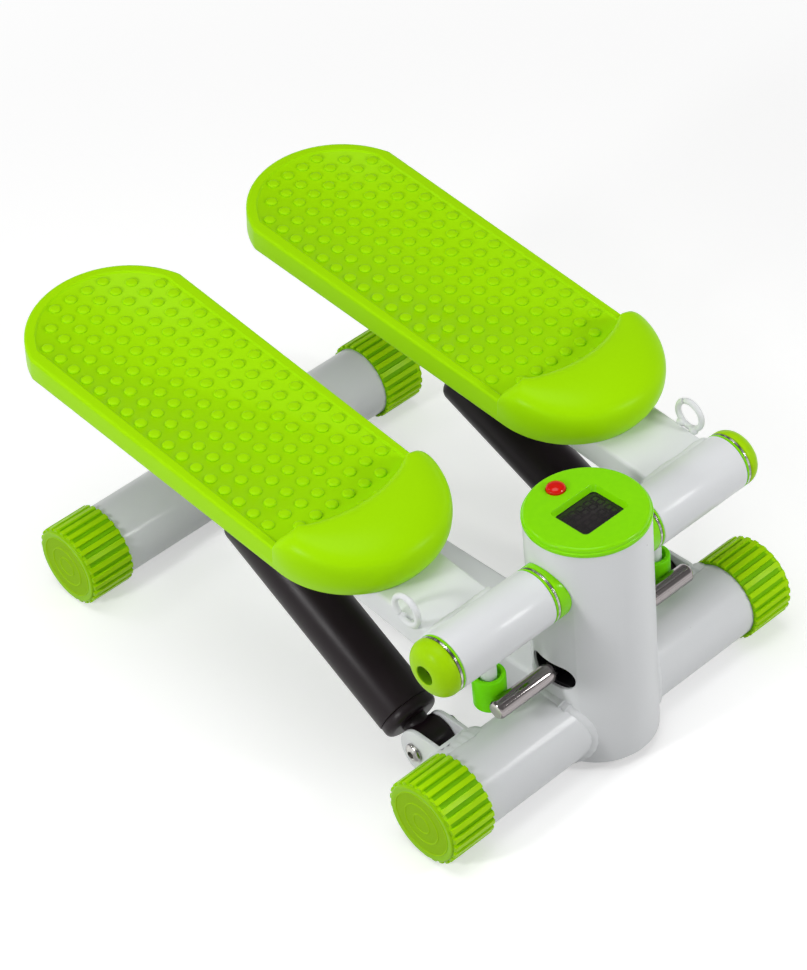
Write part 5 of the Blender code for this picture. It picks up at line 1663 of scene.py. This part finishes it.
# %% Floor
FLOOR_SIZE = 6.0
FLOOR_DROP = 0.0002
SHADOW_REACH = 0.42
WHITE_START = 1.1


def white_floor():
    made = bpy.data.materials.new("white_floor")
    made.use_nodes = True
    tree = made.node_tree
    tree.nodes.clear()
    end = tree.nodes.new("ShaderNodeOutputMaterial")
    path = tree.nodes.new("ShaderNodeLightPath")
    seen = Wire(tree, path.outputs["Is Camera Ray"])
    for ray in ("Is Glossy Ray", "Is Transmission Ray"):
        seen = seen.calculate("MAXIMUM", seen, Wire(tree, path.outputs[ray]))
    paper = seen.node("BsdfDiffuse", {}, {"Color": colour(0.50, 0.50, 0.50)})
    bright = seen.node("BsdfDiffuse", {}, {"Color": colour(0.72, 0.72, 0.72)})
    glow = seen.node("Emission", {}, {"Color": colour(1, 1, 1), "Strength": 0.46})
    lifted = seen.node("AddShader", {}, {0: bright, 1: glow})
    place = Wire(tree, tree.nodes.new("ShaderNodeTexCoord").outputs["Object"])
    away = place.node("VectorMath", {"operation": "LENGTH"}, {0: place}, 1)
    sweep = seen.node("Emission", {}, {"Color": colour(1, 1, 1), "Strength": 1.0})
    lifted = seen.node("MixShader", {}, {0: soft_step(away, SHADOW_REACH, WHITE_START), 1: lifted, 2: sweep})
    look = seen.node("MixShader", {}, {0: seen, 1: paper, 2: lifted})
    tree.links.new(look.socket, end.inputs["Surface"])
    return made


sheet = bmesh.new()
sheet_place = Matrix.Translation((0, 0, -FLOOR_DROP))
bmesh.ops.create_grid(sheet, x_segments=4, y_segments=4, size=FLOOR_SIZE, matrix=sheet_place)
mesh = bpy.data.meshes.new("studio_floor")
sheet.to_mesh(mesh)
sheet.free()
mesh.materials.append(white_floor())
floor = bpy.data.objects.new("studio_floor", mesh)
bpy.context.scene.collection.objects.link(floor)
print("floor", 2 * FLOOR_SIZE, "m across")

# %% World and lamps
CEILING_LEVEL = 0.22
WALL_TOP = math.radians(8)
CEILING_EDGE = math.radians(22)
MIDDLE = (0, 0, 0.1)
POST_MIDDLE = (0, POST_Y, 0.1)
world = bpy.data.worlds.new("studio_walls")
world.use_nodes = True
bpy.context.scene.world = world
tree = world.node_tree
direction = Wire(tree, tree.nodes.new("ShaderNodeTexCoord").outputs["Generated"])
wall = 1 - soft_step(component(direction, 2), math.sin(WALL_TOP), math.sin(CEILING_EDGE))
tree.nodes["Background"].inputs["Color"].default_value = colour(1, 1, 1)
plug(tree.nodes["Background"], "Strength", CEILING_LEVEL + (1 - CEILING_LEVEL) * wall)


def soft_lamp(name, spot, aim, size, watts):
    lamp = bpy.data.lights.new(name, "AREA")
    lamp.shape = "DISK"
    lamp.size = size
    lamp.energy = watts
    carrier = bpy.data.objects.new(name, lamp)
    carrier.location = spot
    carrier.rotation_euler = (Vector(aim) - Vector(spot)).to_track_quat("-Z", "Y").to_euler()
    bpy.context.scene.collection.objects.link(carrier)
    print(name, "at", spot, "gives", watts, "W")


soft_lamp("overhead_lamp", (-0.15, -0.05, 2.1), MIDDLE, size=1.4, watts=15.4)
soft_lamp("left_lamp", (-1.10, 0.04, 0.66), MIDDLE, size=0.18, watts=5.0)
soft_lamp("front_lamp", (0.45, -0.86, 0.58), POST_MIDDLE, size=0.20, watts=2.7)
soft_lamp("back_lamp", (-0.75, 1.15, 1.35), MIDDLE, size=0.45, watts=2.4)

# %% [markdown]
# ## Camera
# The camera looks down from the front right corner of the machine, tilted a little, with a long lens. Its
# place and lens were worked out from the straight edges and round ends in the picture, and the small
# shift keeps the frame.

# %% Camera
VIEW_AZIMUTH = math.radians(-40.028)
VIEW_ELEVATION = math.radians(39.425)
VIEW_ROLL = math.radians(-5.475)
VIEW_SPOT = (-0.87773, -0.91980 + POST_Y, 1.25878)
PICTURE_WIDTH = 807
PICTURE_HEIGHT = 970
FOCAL_PIXELS = 2887.97
CENTRE_PIXEL_X = 442.69
CENTRE_PIXEL_Y = 470.08
SENSOR = 36.0
back = Vector((math.sin(VIEW_AZIMUTH) * math.cos(VIEW_ELEVATION),
               -math.cos(VIEW_AZIMUTH) * math.cos(VIEW_ELEVATION), math.sin(VIEW_ELEVATION)))
level = Vector((math.cos(VIEW_AZIMUTH), math.sin(VIEW_AZIMUTH), 0))
upward = back.cross(level)
right = level * math.cos(VIEW_ROLL) + upward * math.sin(VIEW_ROLL)
upright = upward * math.cos(VIEW_ROLL) - level * math.sin(VIEW_ROLL)
camera_data = bpy.data.cameras.new("studio_camera")
camera_data.sensor_fit = "VERTICAL"
camera_data.sensor_height = SENSOR
camera_data.lens = FOCAL_PIXELS * SENSOR / PICTURE_HEIGHT
camera_data.shift_x = -(CENTRE_PIXEL_X - PICTURE_WIDTH / 2) / PICTURE_HEIGHT
camera_data.shift_y = (CENTRE_PIXEL_Y - PICTURE_HEIGHT / 2) / PICTURE_HEIGHT
camera = bpy.data.objects.new("studio_camera", camera_data)
turn = Matrix((right, upright, back)).transposed().to_4x4()
camera.matrix_world = Matrix.Translation(VIEW_SPOT) @ turn
bpy.context.scene.collection.objects.link(camera)
bpy.context.scene.camera = camera
bpy.context.scene.view_settings.view_transform = "Standard"
print("lens", round(camera_data.lens, 2))

# %% [markdown]
# ## Size
# The fine pieces must not grow the machine.
